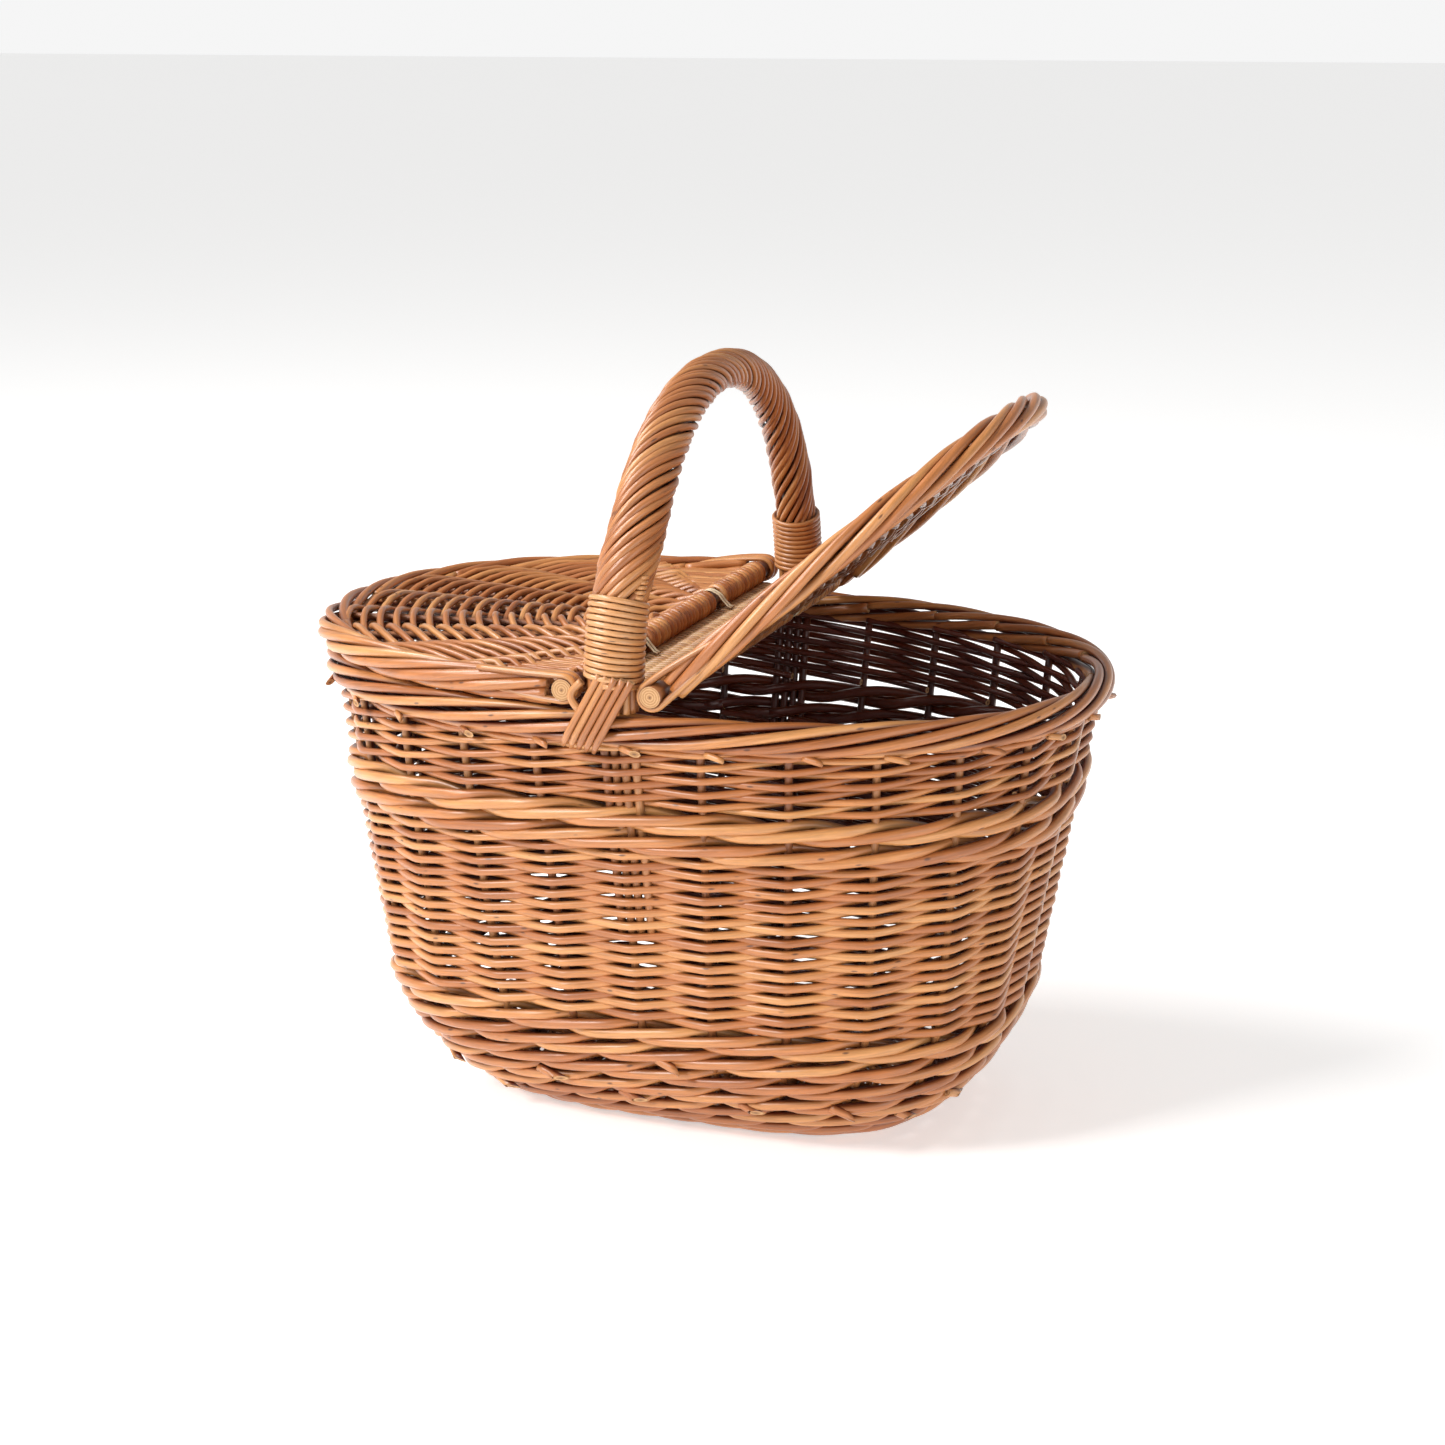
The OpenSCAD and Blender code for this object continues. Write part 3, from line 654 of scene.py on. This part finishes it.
cross_half = BASE_B * 0.8
cross_sticks = [sweep([(x, -cross_half, STICK_LEVEL), (x, 0, 8.7), (x, cross_half, STICK_LEVEL)],
                      CROSS_STICK, (0, 0, 1), sides=12)
                for x in BASE_A * 1.4 * (np.arange(7) / 6 - 0.5)]
make_piece("base_sticks_across", cross_sticks, "basket", ["base_cross_sticks"],
           STICK_WILLOW)
long_half = BASE_A * 0.88
long_sticks = [sweep([(-long_half, y, STICK_LEVEL), (0, y, 8.4), (long_half, y, STICK_LEVEL)],
                     LONG_STICK, (0, 0, 1)) for y in cross_half * 0.84 * np.array([-1, 0, 1])]
make_piece("base_sticks_lengthwise", long_sticks, "basket", ["base_long_sticks"],
           STICK_WILLOW)

# %% [markdown]
# The handle is a stout bow with fourteen rods roped round it. They leave each collar almost
# straight, then take up the twist. A rope's strands are helices round a curved axis, so each
# point is the bow's own point plus a turn in the plane across the bow.

# %% Handle sizes and the arch
HANDLE_FOOT, HANDLE_RISE, HANDLE_SQUARENESS = 153, 154.5, 2.1
ROPE_RADIUS, ROPE_RODS = 14, 14
COLLAR_LOW, FRONT_COLLAR, REAR_COLLAR = 13, 59, 51
# The handle leans a little to the open lid, from this far above the rim and over this rise.
HANDLE_LEAN, LEAN_START, LEAN_RISE = 4.5, 46, 50
BRIDGE_X = np.array([1.0, 0.0, 0.0])


def arch(t):
    """Point of the bow's centre line at t degrees, and the way out of the arch."""
    def at(t):
        y, z = oval(np.radians(t), -HANDLE_FOOT, HANDLE_RISE, HANDLE_SQUARENESS)
        lean = HANDLE_LEAN * smooth((z - LEAN_START) / LEAN_RISE) * (0.5 - 0.5 * y / HANDLE_FOOT)
        return np.stack([lean, y, z + RIM_HEIGHT], -1)
    along = at(np.minimum(t + 1, 180)) - at(np.maximum(t - 1, 0))
    out = np.cross(BRIDGE_X, along)
    return at(t), unit(out)


arch_t = np.linspace(0, 180, 721)
arch_walk = walked(arch(arch_t)[0])
ARCH_LENGTH = arch_walk[-1]
print("the handle's arch is", round(ARCH_LENGTH), "mm long")


def arch_at(s):
    """The same by distance along the arch from the front foot."""
    return arch(np.interp(s, arch_walk, arch_t))


# %% The roping
# The rope's radius at shares of the arch, from the front foot to the rear one.
ROPE_PLACES = [0, 0.1, 0.15, 0.26, 0.4, 0.5, 0.62, 0.84, 0.89, 1]
ROPE_RADII = [13.6, 13.6, 15.4, 14.6, 12.7, 11.0, 11.0, 12.4, 12.0, 12.0]


def roping_turn(s):
    """Angle of the roping at distance s: still under the collars, then 4.0 to 2.8 deg/mm."""
    fine = np.linspace(0, ARCH_LENGTH, 600)
    rate = 4.0 - 1.2 * fine / ARCH_LENGTH
    rate = rate * smooth((fine - FRONT_COLLAR + 16) / 14)
    rate = rate * smooth((ARCH_LENGTH - REAR_COLLAR + 16 - fine) / 14)
    total = np.concatenate([[0], np.cumsum((rate[1:] + rate[:-1]) / 2 * np.diff(fine))])
    return np.radians(np.interp(s, fine, total))


def around_arch(s, turn, reach):
    centre, out = arch_at(s)
    direction = np.cos(turn)[:, None] * out + np.sin(turn)[:, None] * BRIDGE_X
    return centre + np.asarray(reach)[..., None] * direction, direction


def rope_radius(s):
    """The rods go in butt first at the feet, so the rope is thinnest over the top."""
    return np.interp(s / ARCH_LENGTH, ROPE_PLACES, ROPE_RADII)


def roping_rod(i):
    s = np.arange(0, ARCH_LENGTH, 3.2)
    radius = 0.152 * rope_radius(s) * (1 + 0.05 * chance.normal())
    uneven_turn = 0.05 * chance.normal() + 0.03 * np.sin(s / 23 + i)
    turn = 2 * pi * i / ROPE_RODS + roping_turn(s) + uneven_turn
    reach = rope_radius(s) - radius + 0.25 * np.sin(s / 31 + 2.4 * i)
    points, direction = around_arch(s, turn, reach)
    return sweep(points, radius, direction, sides=10)


make_piece("roped_handle", [roping_rod(i) for i in range(ROPE_RODS)], "basket",
           ["handle_roping"], ROPE_WILLOW)
bow_s = np.linspace(0, ARCH_LENGTH, 90)
bow_line, bow_out = arch_at(bow_s)
make_piece("handle_bow_core", [sweep(bow_line, rope_radius(bow_s) * 0.62, bow_out,
                                     sides=16)], "basket",
           ["handle_bow"], STICK_WILLOW)

# %% [markdown]
# A collar of skein binds each foot of the handle. Skein is a thin rod wound round and round,
# each turn pressed against the last, so the collar is one long coil.


# %% Collars
SKEIN_PITCH, SKEIN_RADIUS = 3.15, 1.45
COLLAR_MARGIN = 1.5
WRAP_ROD, WRAP_REACH = 1.25, 3.6


def coil(s_low, s_high, reach, tilt):
    """A collar between two distances along the arch. tilt slants its turns."""
    turns = (s_high - s_low) / SKEIN_PITCH
    x = np.linspace(0, turns, int(turns * 18))
    turn = 2 * pi * x
    s = s_low + SKEIN_PITCH * x + tilt * np.sin(turn)
    points, direction = around_arch(s, turn, reach + 0 * x)
    return sweep(points, SKEIN_RADIUS, direction, flat=1.08)


def small_wrap():
    """The skein's end is caught in a few turns round one strand, just above the collar."""
    x = np.linspace(0, 4.2, 76)
    turn = 2 * pi * x
    s = FRONT_COLLAR - 1 + 2.6 * x
    centre, direction = around_arch(s, np.full(len(s), radians(72)), ROPE_RADIUS - 3.1 + 0 * x)
    line = centre + WRAP_REACH * np.cos(turn)[:, None] * direction
    line[:, 1] -= WRAP_REACH * np.sin(turn)
    return sweep(line, WRAP_ROD, line - centre)


make_piece("front_handle_collar",
           [coil(COLLAR_LOW + COLLAR_MARGIN, FRONT_COLLAR - COLLAR_MARGIN, ROPE_RADIUS + 0.6,
                 -1.6), small_wrap()],
           "basket", ["front_collar"], SKEIN_WILLOW)
make_piece("rear_handle_collar",
           [coil(ARCH_LENGTH - REAR_COLLAR + COLLAR_MARGIN,
                 ARCH_LENGTH - COLLAR_LOW - COLLAR_MARGIN, ROPE_RADIUS - 0.5, 0.8)],
           "basket", ["rear_collar"], SKEIN_WILLOW)

# %% [markdown]
# Below each collar the ends of the roping fan out across the border on a slant and are
# trimmed round, side by side. One more, a little thicker, bows out sideways behind them.


# %% Ends of the roping across the border
TAILS, TAIL_RADIUS, COUNTER_RADIUS = 5, 1.95, 2.2
TAIL_TOP, TAIL_DROP = 20, 39.5


def tail(i, side):
    """One of the slanting ends; side is -1 at the front and 1 at the back."""
    x = np.linspace(0, 1, 12)
    spread = (i - 2) / 2
    top_x, low_x = 6.3 + 8.6 * spread, -15.5 + 8.4 * spread
    z = RIM_HEIGHT + TAIL_TOP - TAIL_DROP * x - 1.2 * spread
    bow_y = HANDLE_FOOT + ROPE_RADIUS - 1.5 + 0.6 * np.cos(spread)
    border_y = RIM_WIDTH / 2 + 2.1
    y = bow_y + (border_y - bow_y) * smooth((x - 0.1) / 0.5) - 3.2 * smooth((x - 0.86) / 0.14)
    line = np.stack([(top_x + (low_x - top_x) * x), -y, z], -1)
    if side > 0:
        line[:, :2] *= -1
    taper = TAIL_RADIUS * np.concatenate([np.ones(10), [0.93, 0.6]])
    return sweep(line, taper, (0, side, 0.1), sides=10)


def counter_tail(side):
    """The end that bows out behind the others."""
    x = np.linspace(0, 1, 14)
    swing = -13.5 - 5.5 * np.sin(pi * x)
    z = RIM_HEIGHT + 16 - 15 * x
    y = -(HANDLE_FOOT + 9.5 + 2.5 * x)
    line = np.stack([swing, y, z], -1)
    if side > 0:
        line[:, :2] *= -1
    return sweep(line, COUNTER_RADIUS, (0, side, 0))


for word, side in (("front", -1), ("rear", 1)):
    ends = [tail(i, side) for i in range(TAILS)] + [counter_tail(side)]
    make_piece(word + "_ends_of_the_roping", ends, "basket", [word + "_handle_tails"],
               ROPE_WILLOW)

# %% [markdown]
# Inside the wall the bow's two ends run on as liners: stout rods pushed down beside the
# middle stake, three to each side of the basket. With the stake they make four uprights.


# %% Liners
LINER_X, LINER_DROP, LINER_RADIUS = (-5.4, 5.4, 11.4), 108, 2.5


def liner(x, side):
    z = np.linspace(WALL_TOP - LINER_DROP, WALL_TOP + 4, 10)
    a, b = wall_halves(z)
    y = side * (b - 6.5)
    return sweep(np.stack([side * -x + 0 * z, y, z], -1), LINER_RADIUS, (0, side, 0.2))


for side, word in ((-1, "front"), (1, "rear")):
    make_piece(word + "_liners", [liner(x, side) for x in LINER_X], "basket",
               [word + "_handle_liners"], STICK_WILLOW)

# %% [markdown]
# A lid is a half oval woven on its own. A stout hinge stick makes its straight edge, nine
# ribs fan out from it, and weavers run in nested bows from one half of the stick round to the
# other, over one rib and under the next. At each end a weaver wraps round the stick before it
# turns back, which is why the stick is covered in tight coils. The same functions draw both
# lids about a hinge line, and then each is put in its place.

# %% Lid sizes
HINGE_X, HINGE_Z = 24.2, 275.0
LID_A, LID_B = RIM_LENGTH / 2 + 5, RIM_WIDTH / 2 + 1
STICK_HALF, STICK = 164.3, 4.5
BORDER_WIDTH = 20
LID_MIDDLE = -1.2
RIB_RADIUS = 2.3
RIGHT_OPEN = radians(41.6)


def lid_outline(angle, inset):
    """Point of the lid's oval, measured from its hinge line."""
    x, y = oval(angle, LID_A - inset, LID_B - inset, RIM_SQUARENESS)
    return x - HINGE_X, y


def hinge_angle(x, inset):
    """Direction in which the lid's oval crosses the line at distance x from the hinge."""
    a, b = LID_A - inset, LID_B - inset
    share = (x + HINGE_X) / a
    return np.arctan2((1 - share ** RIM_SQUARENESS) ** (1 / RIM_SQUARENESS), share)


def place(rods, lid):
    """Puts rods drawn about the hinge line on the left or the right lid."""
    if lid == "left":
        turn = np.diag([-1.0, -1.0, 1.0])
        shift = np.array([-HINGE_X, 0, HINGE_Z])
    else:
        c, s = cos(RIGHT_OPEN), sin(RIGHT_OPEN)
        turn = np.array([[c, 0, -s], [0, 1, 0], [s, 0, c]])
        shift = np.array([HINGE_X, 0, HINGE_Z])
    for rod in rods:
        rod["corners"] = rod["corners"] @ turn.T + shift
    return rods


# %% Ribs of a lid
RIB_PAIRS, RIB_SPACING, RIB_FAN = 4, 16, radians(17)
rib_numbers = np.arange(-RIB_PAIRS, RIB_PAIRS + 1)
rib_x, rib_y = lid_outline(rib_numbers * RIB_FAN, BORDER_WIDTH - 4)


def rib_height(x):
    """y of every rib at distance x from the hinge."""
    share = (np.asarray(x)[..., None] - 4) / (rib_x - 4)
    return rib_numbers * RIB_SPACING + share * (rib_y - rib_numbers * RIB_SPACING)


def lid_rib(k):
    x = np.linspace(5, rib_x[k], 14)
    y = rib_height(x)[:, k]
    z = LID_MIDDLE + 0 * x
    return sweep(np.stack([x, y, z], -1), RIB_RADIUS, (0, 0, 1))


# %% Weavers of a lid
WEAVERS = 40
inner_a, inner_b = LID_A - HINGE_X - BORDER_WIDTH + 3, LID_B - BORDER_WIDTH - 0.5


def lid_weaver(i):
    share = (i + 0.8) / WEAVERS
    sweep_angle = np.linspace(-pi / 2, pi / 2, int(24 + 90 * share))
    x, y = oval(sweep_angle, inner_a * share, inner_b * share, RIM_SQUARENESS)
    # Where each point lies among the ribs decides whether it is over or under.
    ribs_here = rib_height(np.minimum(x, rib_x.max()))
    rib_place = np.array([np.interp(v, row, rib_numbers, left=-4.5, right=4.5)
                          for v, row in zip(y, ribs_here)])
    side = np.cos(pi * (rib_place + i))
    strong = smooth((x - 2) / 9)
    z = LID_MIDDLE + side * (RIB_RADIUS + 1.55) * strong + (1 - strong) * (STICK + 1.0)
    line = np.stack([np.maximum(x, 0.3), y, z + chance.normal(0, 0.15, len(x))], -1)
    return sweep(line, 1.95 * (1 + 0.05 * chance.normal()), (0, 0, 1))


COIL_PITCH, COIL_ROD = 5.0, 2.1
COIL_TURNS, COIL_START = 1.08, 4.0
# The wrapped stretches of the stick. The skein loops sit between them.
COIL_SPANS = ((-144, -66), (-54, 54), (66, 144))


def stick_coil(y_low):
    """The one turn that a weaver makes round the hinge stick."""
    x = np.linspace(0, COIL_TURNS, int(COIL_TURNS * 14))
    turn = 2 * pi * x + COIL_START
    direction = np.stack([np.cos(turn), 0 * turn, np.sin(turn)], -1)
    reach = STICK + 0.9 + 0.4 * chance.random()
    line = direction * reach + np.stack([0 * x, y_low + COIL_PITCH * x, 0 * x], -1)
    return sweep(line, COIL_ROD, direction)


# %% [markdown]
# The rim of a lid is a loose waled border of thick rods. They roll slowly round each other,
# and between them and the weave small holes let the light through. At the straight edge the
# border rods turn round the end of the hinge stick, like a letter U.

# %% Border of a lid
LID_ROD = 2.75
LID_BORDER_DEEP, LID_BORDER_TALL = 10.0, 8.25
LID_BORDER_MIDDLE = -2.45
BORDER_STEP = 38.0
BORDER_ROLL = 6 * BORDER_STEP
TURN_ROD, TURN_FLAT = 1.75, 1.65
start_angle = float(hinge_angle(10.0, LID_BORDER_DEEP))
edge_angles = np.linspace(-start_angle, start_angle, 400)
edge_x, edge_y = lid_outline(edge_angles, LID_BORDER_DEEP)
edge_walk = np.concatenate([[0], np.cumsum(np.hypot(np.diff(edge_x), np.diff(edge_y)))])
EDGE_LENGTH = edge_walk[-1]


def lid_border_rods():
    """Rods that start one step apart and make one turn round the border's middle."""
    rods = []
    for k in range(-6, int(EDGE_LENGTH / BORDER_STEP) + 1):
        begin = max(0, k * BORDER_STEP)
        end = min(EDGE_LENGTH, k * BORDER_STEP + BORDER_ROLL)
        if end - begin < 12:
            continue
        s = np.linspace(begin, end, max(6, int((end - begin) / 4)))
        phase = np.radians(-200 + 360 * (s - k * BORDER_STEP) / BORDER_ROLL + chance.normal(0, 6))
        angle = np.interp(s, edge_walk, edge_angles)
        x, y = np.interp(s, edge_walk, edge_x), np.interp(s, edge_walk, edge_y)
        ahead = np.array(lid_outline(angle + 0.01, 0)) - np.array(lid_outline(angle - 0.01, 0))
        out = unit(np.stack([ahead[1], -ahead[0], 0 * x], -1))
        # The rods pinch together where they meet the straight edge.
        pinch = 1 - 0.35 * (1 - smooth(np.minimum(s, EDGE_LENGTH - s) / 40))
        sideways = (LID_BORDER_DEEP - LID_ROD - 0.4) * pinch * np.cos(phase)
        upward = (LID_BORDER_TALL - LID_ROD) * np.sin(phase)
        line = np.stack([x, y, LID_BORDER_MIDDLE + upward], -1) + sideways[:, None] * out
        facing = out * np.cos(phase)[:, None] + np.array([0, 0, 1.0]) * np.sin(phase)[:, None]
        rods.append(sweep(line, LID_ROD * (1 + 0.06 * chance.normal()), facing, sides=10))
    return rods


def border_turn(end, number, over, under, tuck=1.0):
    """A border rod that comes in over the stick's end, turns round it and goes back under."""
    inset = 4.2 + 6.0 * number
    reach = STICK + 2.1 - 0.3 * number
    arc = np.linspace(pi / 2, 3 * pi / 2, 12)
    x = np.concatenate([np.linspace(over, 3, 14), reach * np.cos(arc), np.linspace(3, under, 14)])
    z = np.concatenate([np.full(14, reach), reach * np.sin(arc), np.full(14, -reach)])
    # Further along, the rod sinks in among the others of the border.
    sunk = smooth(np.maximum(x, 0) / 75)
    sunk = np.where(z > 0, sunk * tuck, sunk)
    z = z * (1 - sunk) + LID_BORDER_MIDDLE * sunk
    edge = (1 - (np.maximum(x + HINGE_X, 0) / LID_A) ** RIM_SQUARENESS) ** (1 / RIM_SQUARENESS)
    y = end * (LID_B * edge - inset * (1 - sunk) - LID_BORDER_DEEP * sunk)
    away = np.stack([np.minimum(x, 0.0), 0 * x, z], -1)
    return sweep(np.stack([x, y, z], -1), TURN_ROD, away, flat=TURN_FLAT, sides=10)


# %% Put the lids together
BUTT_START, BUTT_FLARE = 148, 1.1
for lid in ("left", "right"):
    stick_line = np.stack([0.15 * np.sin(np.arange(30)), np.linspace(-STICK_HALF, STICK_HALF, 30),
                           0.15 * np.cos(np.arange(30))], -1)
    butt = np.abs(stick_line[:, 1]) > BUTT_START
    stick = sweep(stick_line, STICK + BUTT_FLARE * butt, (1, 0, 0), sides=20, tone=0.35)
    make_piece(lid + "_hinge_stick_rod", place([stick], lid), lid + "_lid",
               [lid + "_hinge_stick"], STICK_WILLOW)
    coils = []
    for low, high in COIL_SPANS:
        for y in np.arange(low, high - COIL_PITCH, COIL_PITCH):
            coils.append(stick_coil(y))
    make_piece(lid + "_stick_coils", place(coils, lid), lid + "_lid", [lid + "_stick_wrapping"],
               LID_WILLOW)
    make_piece(lid + "_lid_rib_rods", place([lid_rib(k) for k in range(len(rib_numbers))], lid),
               lid + "_lid", [lid + "_lid_ribs"], STICK_WILLOW)
    make_piece(lid + "_lid_weaving", place([lid_weaver(i) for i in range(WEAVERS)], lid),
               lid + "_lid", [lid + "_lid_weave"], LID_WILLOW)
    make_piece(lid + "_lid_border_rods", place(lid_border_rods(), lid), lid + "_lid",
               [lid + "_lid_border"], LID_WILLOW)
    for word, end in (("front", -1), ("rear", 1)):
        side = -end if lid == "left" else end
        cut_short = lid == "left" and end < 0
        turns = [border_turn(side, 0, 50 if cut_short else 78, 78, 0.1 if cut_short else 1.0),
                 border_turn(side, 1, 70, 70)]
        make_piece(lid + "_" + word + "_turn_rods", place(turns, lid), lid + "_lid",
                   [lid + "_" + word + "_border_turn"], LID_WILLOW)

# %% [markdown]
# Between the two hinge sticks a narrow bridge closes the top. Fine pale skein lies across
# five thin sticks, and each strand rises over one stick and dips at the next. Loops of white
# skein hold the hinge sticks to the bridge, so that each lid can turn.

# %% Bridge
BRIDGE_HALF, BRIDGE_REACH = 17.7, 138.6
BRIDGE_LEVEL = RIM_HEIGHT + 2.2
bridge_sticks_x = (BRIDGE_HALF - 3) * (np.arange(5) / 2 - 1)
bridge_stick_rods = [sweep([(x, -BRIDGE_REACH, BRIDGE_LEVEL), (x, 0, BRIDGE_LEVEL + 0.1),
                            (x, BRIDGE_REACH, BRIDGE_LEVEL)], 2.0, (0, 0, 1))
                     for x in bridge_sticks_x]
make_piece("bridge_stick_rods", bridge_stick_rods, "basket", ["bridge_sticks"],
           STICK_WILLOW)

BRIDGE_PITCH = 2.3


def bridge_weaver(i):
    y = -BRIDGE_REACH + 2 + BRIDGE_PITCH * i
    x = np.linspace(-BRIDGE_HALF, BRIDGE_HALF, 22)
    spacing = bridge_sticks_x[1] - bridge_sticks_x[0]
    z = BRIDGE_LEVEL + 3.2 + 0.7 * np.cos(pi * (x / spacing + i))
    return sweep(np.stack([x, y + 0 * x, z], -1), 1.25, (0, 0, 1), sides=6, flat=0.95)


bridge_count = int((2 * BRIDGE_REACH - 4) / BRIDGE_PITCH) + 1
make_piece("bridge_weaving", [bridge_weaver(i) for i in range(bridge_count)], "basket",
           ["bridge_weave"], PALE_WEAVE)


# %% Hinge loops
LOOP_REACH, LOOP_PLACE, LOOP_SPACING = 6.2, 60, 3.3


def hinge_loop(side, end, number):
    """One turn of white skein round a hinge stick, tied down at the bridge's edge."""
    arc = np.linspace(0.35 * pi, 1.75 * pi, 22)
    ring_x, ring_z = -LOOP_REACH * np.cos(arc), LOOP_REACH * np.sin(arc)
    x = np.concatenate([[-14, -11.5, -8.5, -6], ring_x, [-8.5, -12]])
    z = np.concatenate([[-3.2, -2.4, 0.8, 4.0], ring_z, [-5.6, -5.2]])
    y = end * LOOP_PLACE + (number - 0.5) * LOOP_SPACING + np.linspace(-0.6, 0.6, len(x))
    line = np.stack([side * (HINGE_X + x), y, HINGE_Z + z], -1)
    away = np.stack([side * x * (np.abs(x) < 7), 0 * x, z + 4.0 * (np.abs(x) > 7)], -1)
    return sweep(line, 0.6, away, flat=1.9, tone=0.7)


for lid, side in (("left", -1), ("right", 1)):
    for word, end in (("front", -1), ("rear", 1)):
        make_piece(lid + "_" + word + "_skein_loop", [hinge_loop(side, end, n) for n in (0, 1)],
                   "basket", [lid + "_" + word + "_hinge_loop"], PALE_SKEIN)

# %% [markdown]
# The studio: a pale floor that glows a little, a surround that is bright at the horizon and
# dimmer overhead, and three soft lights, the strongest from the front left. Soft light lets
# woven work read: it still falls into the gaps, but leaves them darker the deeper they go.

# %% Floor
floor_mesh = bpy.data.meshes.new("floor")
FLOOR_HALF, FLOOR_GLOW = 30.0, 0.5
floor_mesh.from_pydata([(x * FLOOR_HALF, y * FLOOR_HALF, 0)
                        for x, y in ((-1, -1), (1, -1), (1, 1), (-1, 1))], [], [(0, 1, 2, 3)])
floor = add_object("pale_floor", floor_mesh)
floor.location.z = min(cad_box[0][2], 0) - 0.0005
floor_paint, paint_tree = new_material("matt_white_paint")
mottle = add_node(paint_tree, "TexNoise", Scale=3.0).outputs["Fac"]
paint_ramp = add_node(paint_tree, "ValToRGB", Fac=mottle)
colour_steps(paint_ramp, [(0.0, "#F6F5F3"), (1.0, "#FAF9F8")])
paint = add_node(paint_tree, "BsdfPrincipled", Base_Color=paint_ramp.outputs[0],
                 Roughness=0.9, Emission_Color=linear("#FFFFFF"), Emission_Strength=FLOOR_GLOW)
add_node(paint_tree, "OutputMaterial", Surface=paint.outputs[0])
floor_mesh.materials.append(floor_paint)
print("floor at", floor.location.z)

# %% Lights
world = bpy.data.worlds.new("studio_surround")
bpy.context.scene.world = world
world.use_nodes = True
sky = world.node_tree
sky.nodes.clear()
gaze = add_node(sky, "TexCoord").outputs["Generated"]
height = add_node(sky, "SeparateXYZ", Vector=gaze).outputs[2]
glow = remap(sky, height, From_Min=0.03, From_Max=0.3, To_Min=0.92, To_Max=0.33)
surround = add_node(sky, "Background", Color=linear("#FFFFFF"), Strength=glow)
add_node(sky, "OutputWorld", Surface=surround.outputs[0])


def soft_light(name, place, aim, size, power):
    data = bpy.data.lights.new(name, "AREA")
    data.size = size
    data.energy = power
    light = add_object(name, data)
    light.location = place
    light.rotation_euler = (Vector(place) - Vector(aim)).to_track_quat("Z", "Y").to_euler()


soft_light("key_softbox", (-1.6, -2.2, 2.0), (0, 0, 0.15), size=0.7, power=66)
soft_light("top_softbox", (-1.5, -0.3, 2.1), (0, 0, 0.25), size=0.8, power=40)
soft_light("fill_softbox", (2.4, -2.0, 0.9), (0, 0, 0.15), size=1.2, power=14)

# %% [markdown]
# The camera stands to the front right, a metre and a half away and higher than the handle,
# with a long lens, so that the basket's lines stay nearly parallel.

# %% Camera
azimuth, elevation, distance = radians(19.59), radians(15.18), 1.501
aim = Vector((0.00464, 0, 0.21842))
backwards = Vector((sin(azimuth) * cos(elevation), -cos(azimuth) * cos(elevation),
                    sin(elevation)))
camera_data = bpy.data.cameras.new("camera")
camera_data.sensor_width = 36
camera_data.lens = 65.76
camera_data.clip_end = 100
camera = add_object("camera", camera_data)
camera.location = aim + backwards * distance
camera.rotation_euler = backwards.to_track_quat("Z", "Y").to_euler()
bpy.context.scene.camera = camera
bpy.context.scene.view_settings.view_transform = "Standard"
print("camera at", [round(c, 3) for c in camera.location])
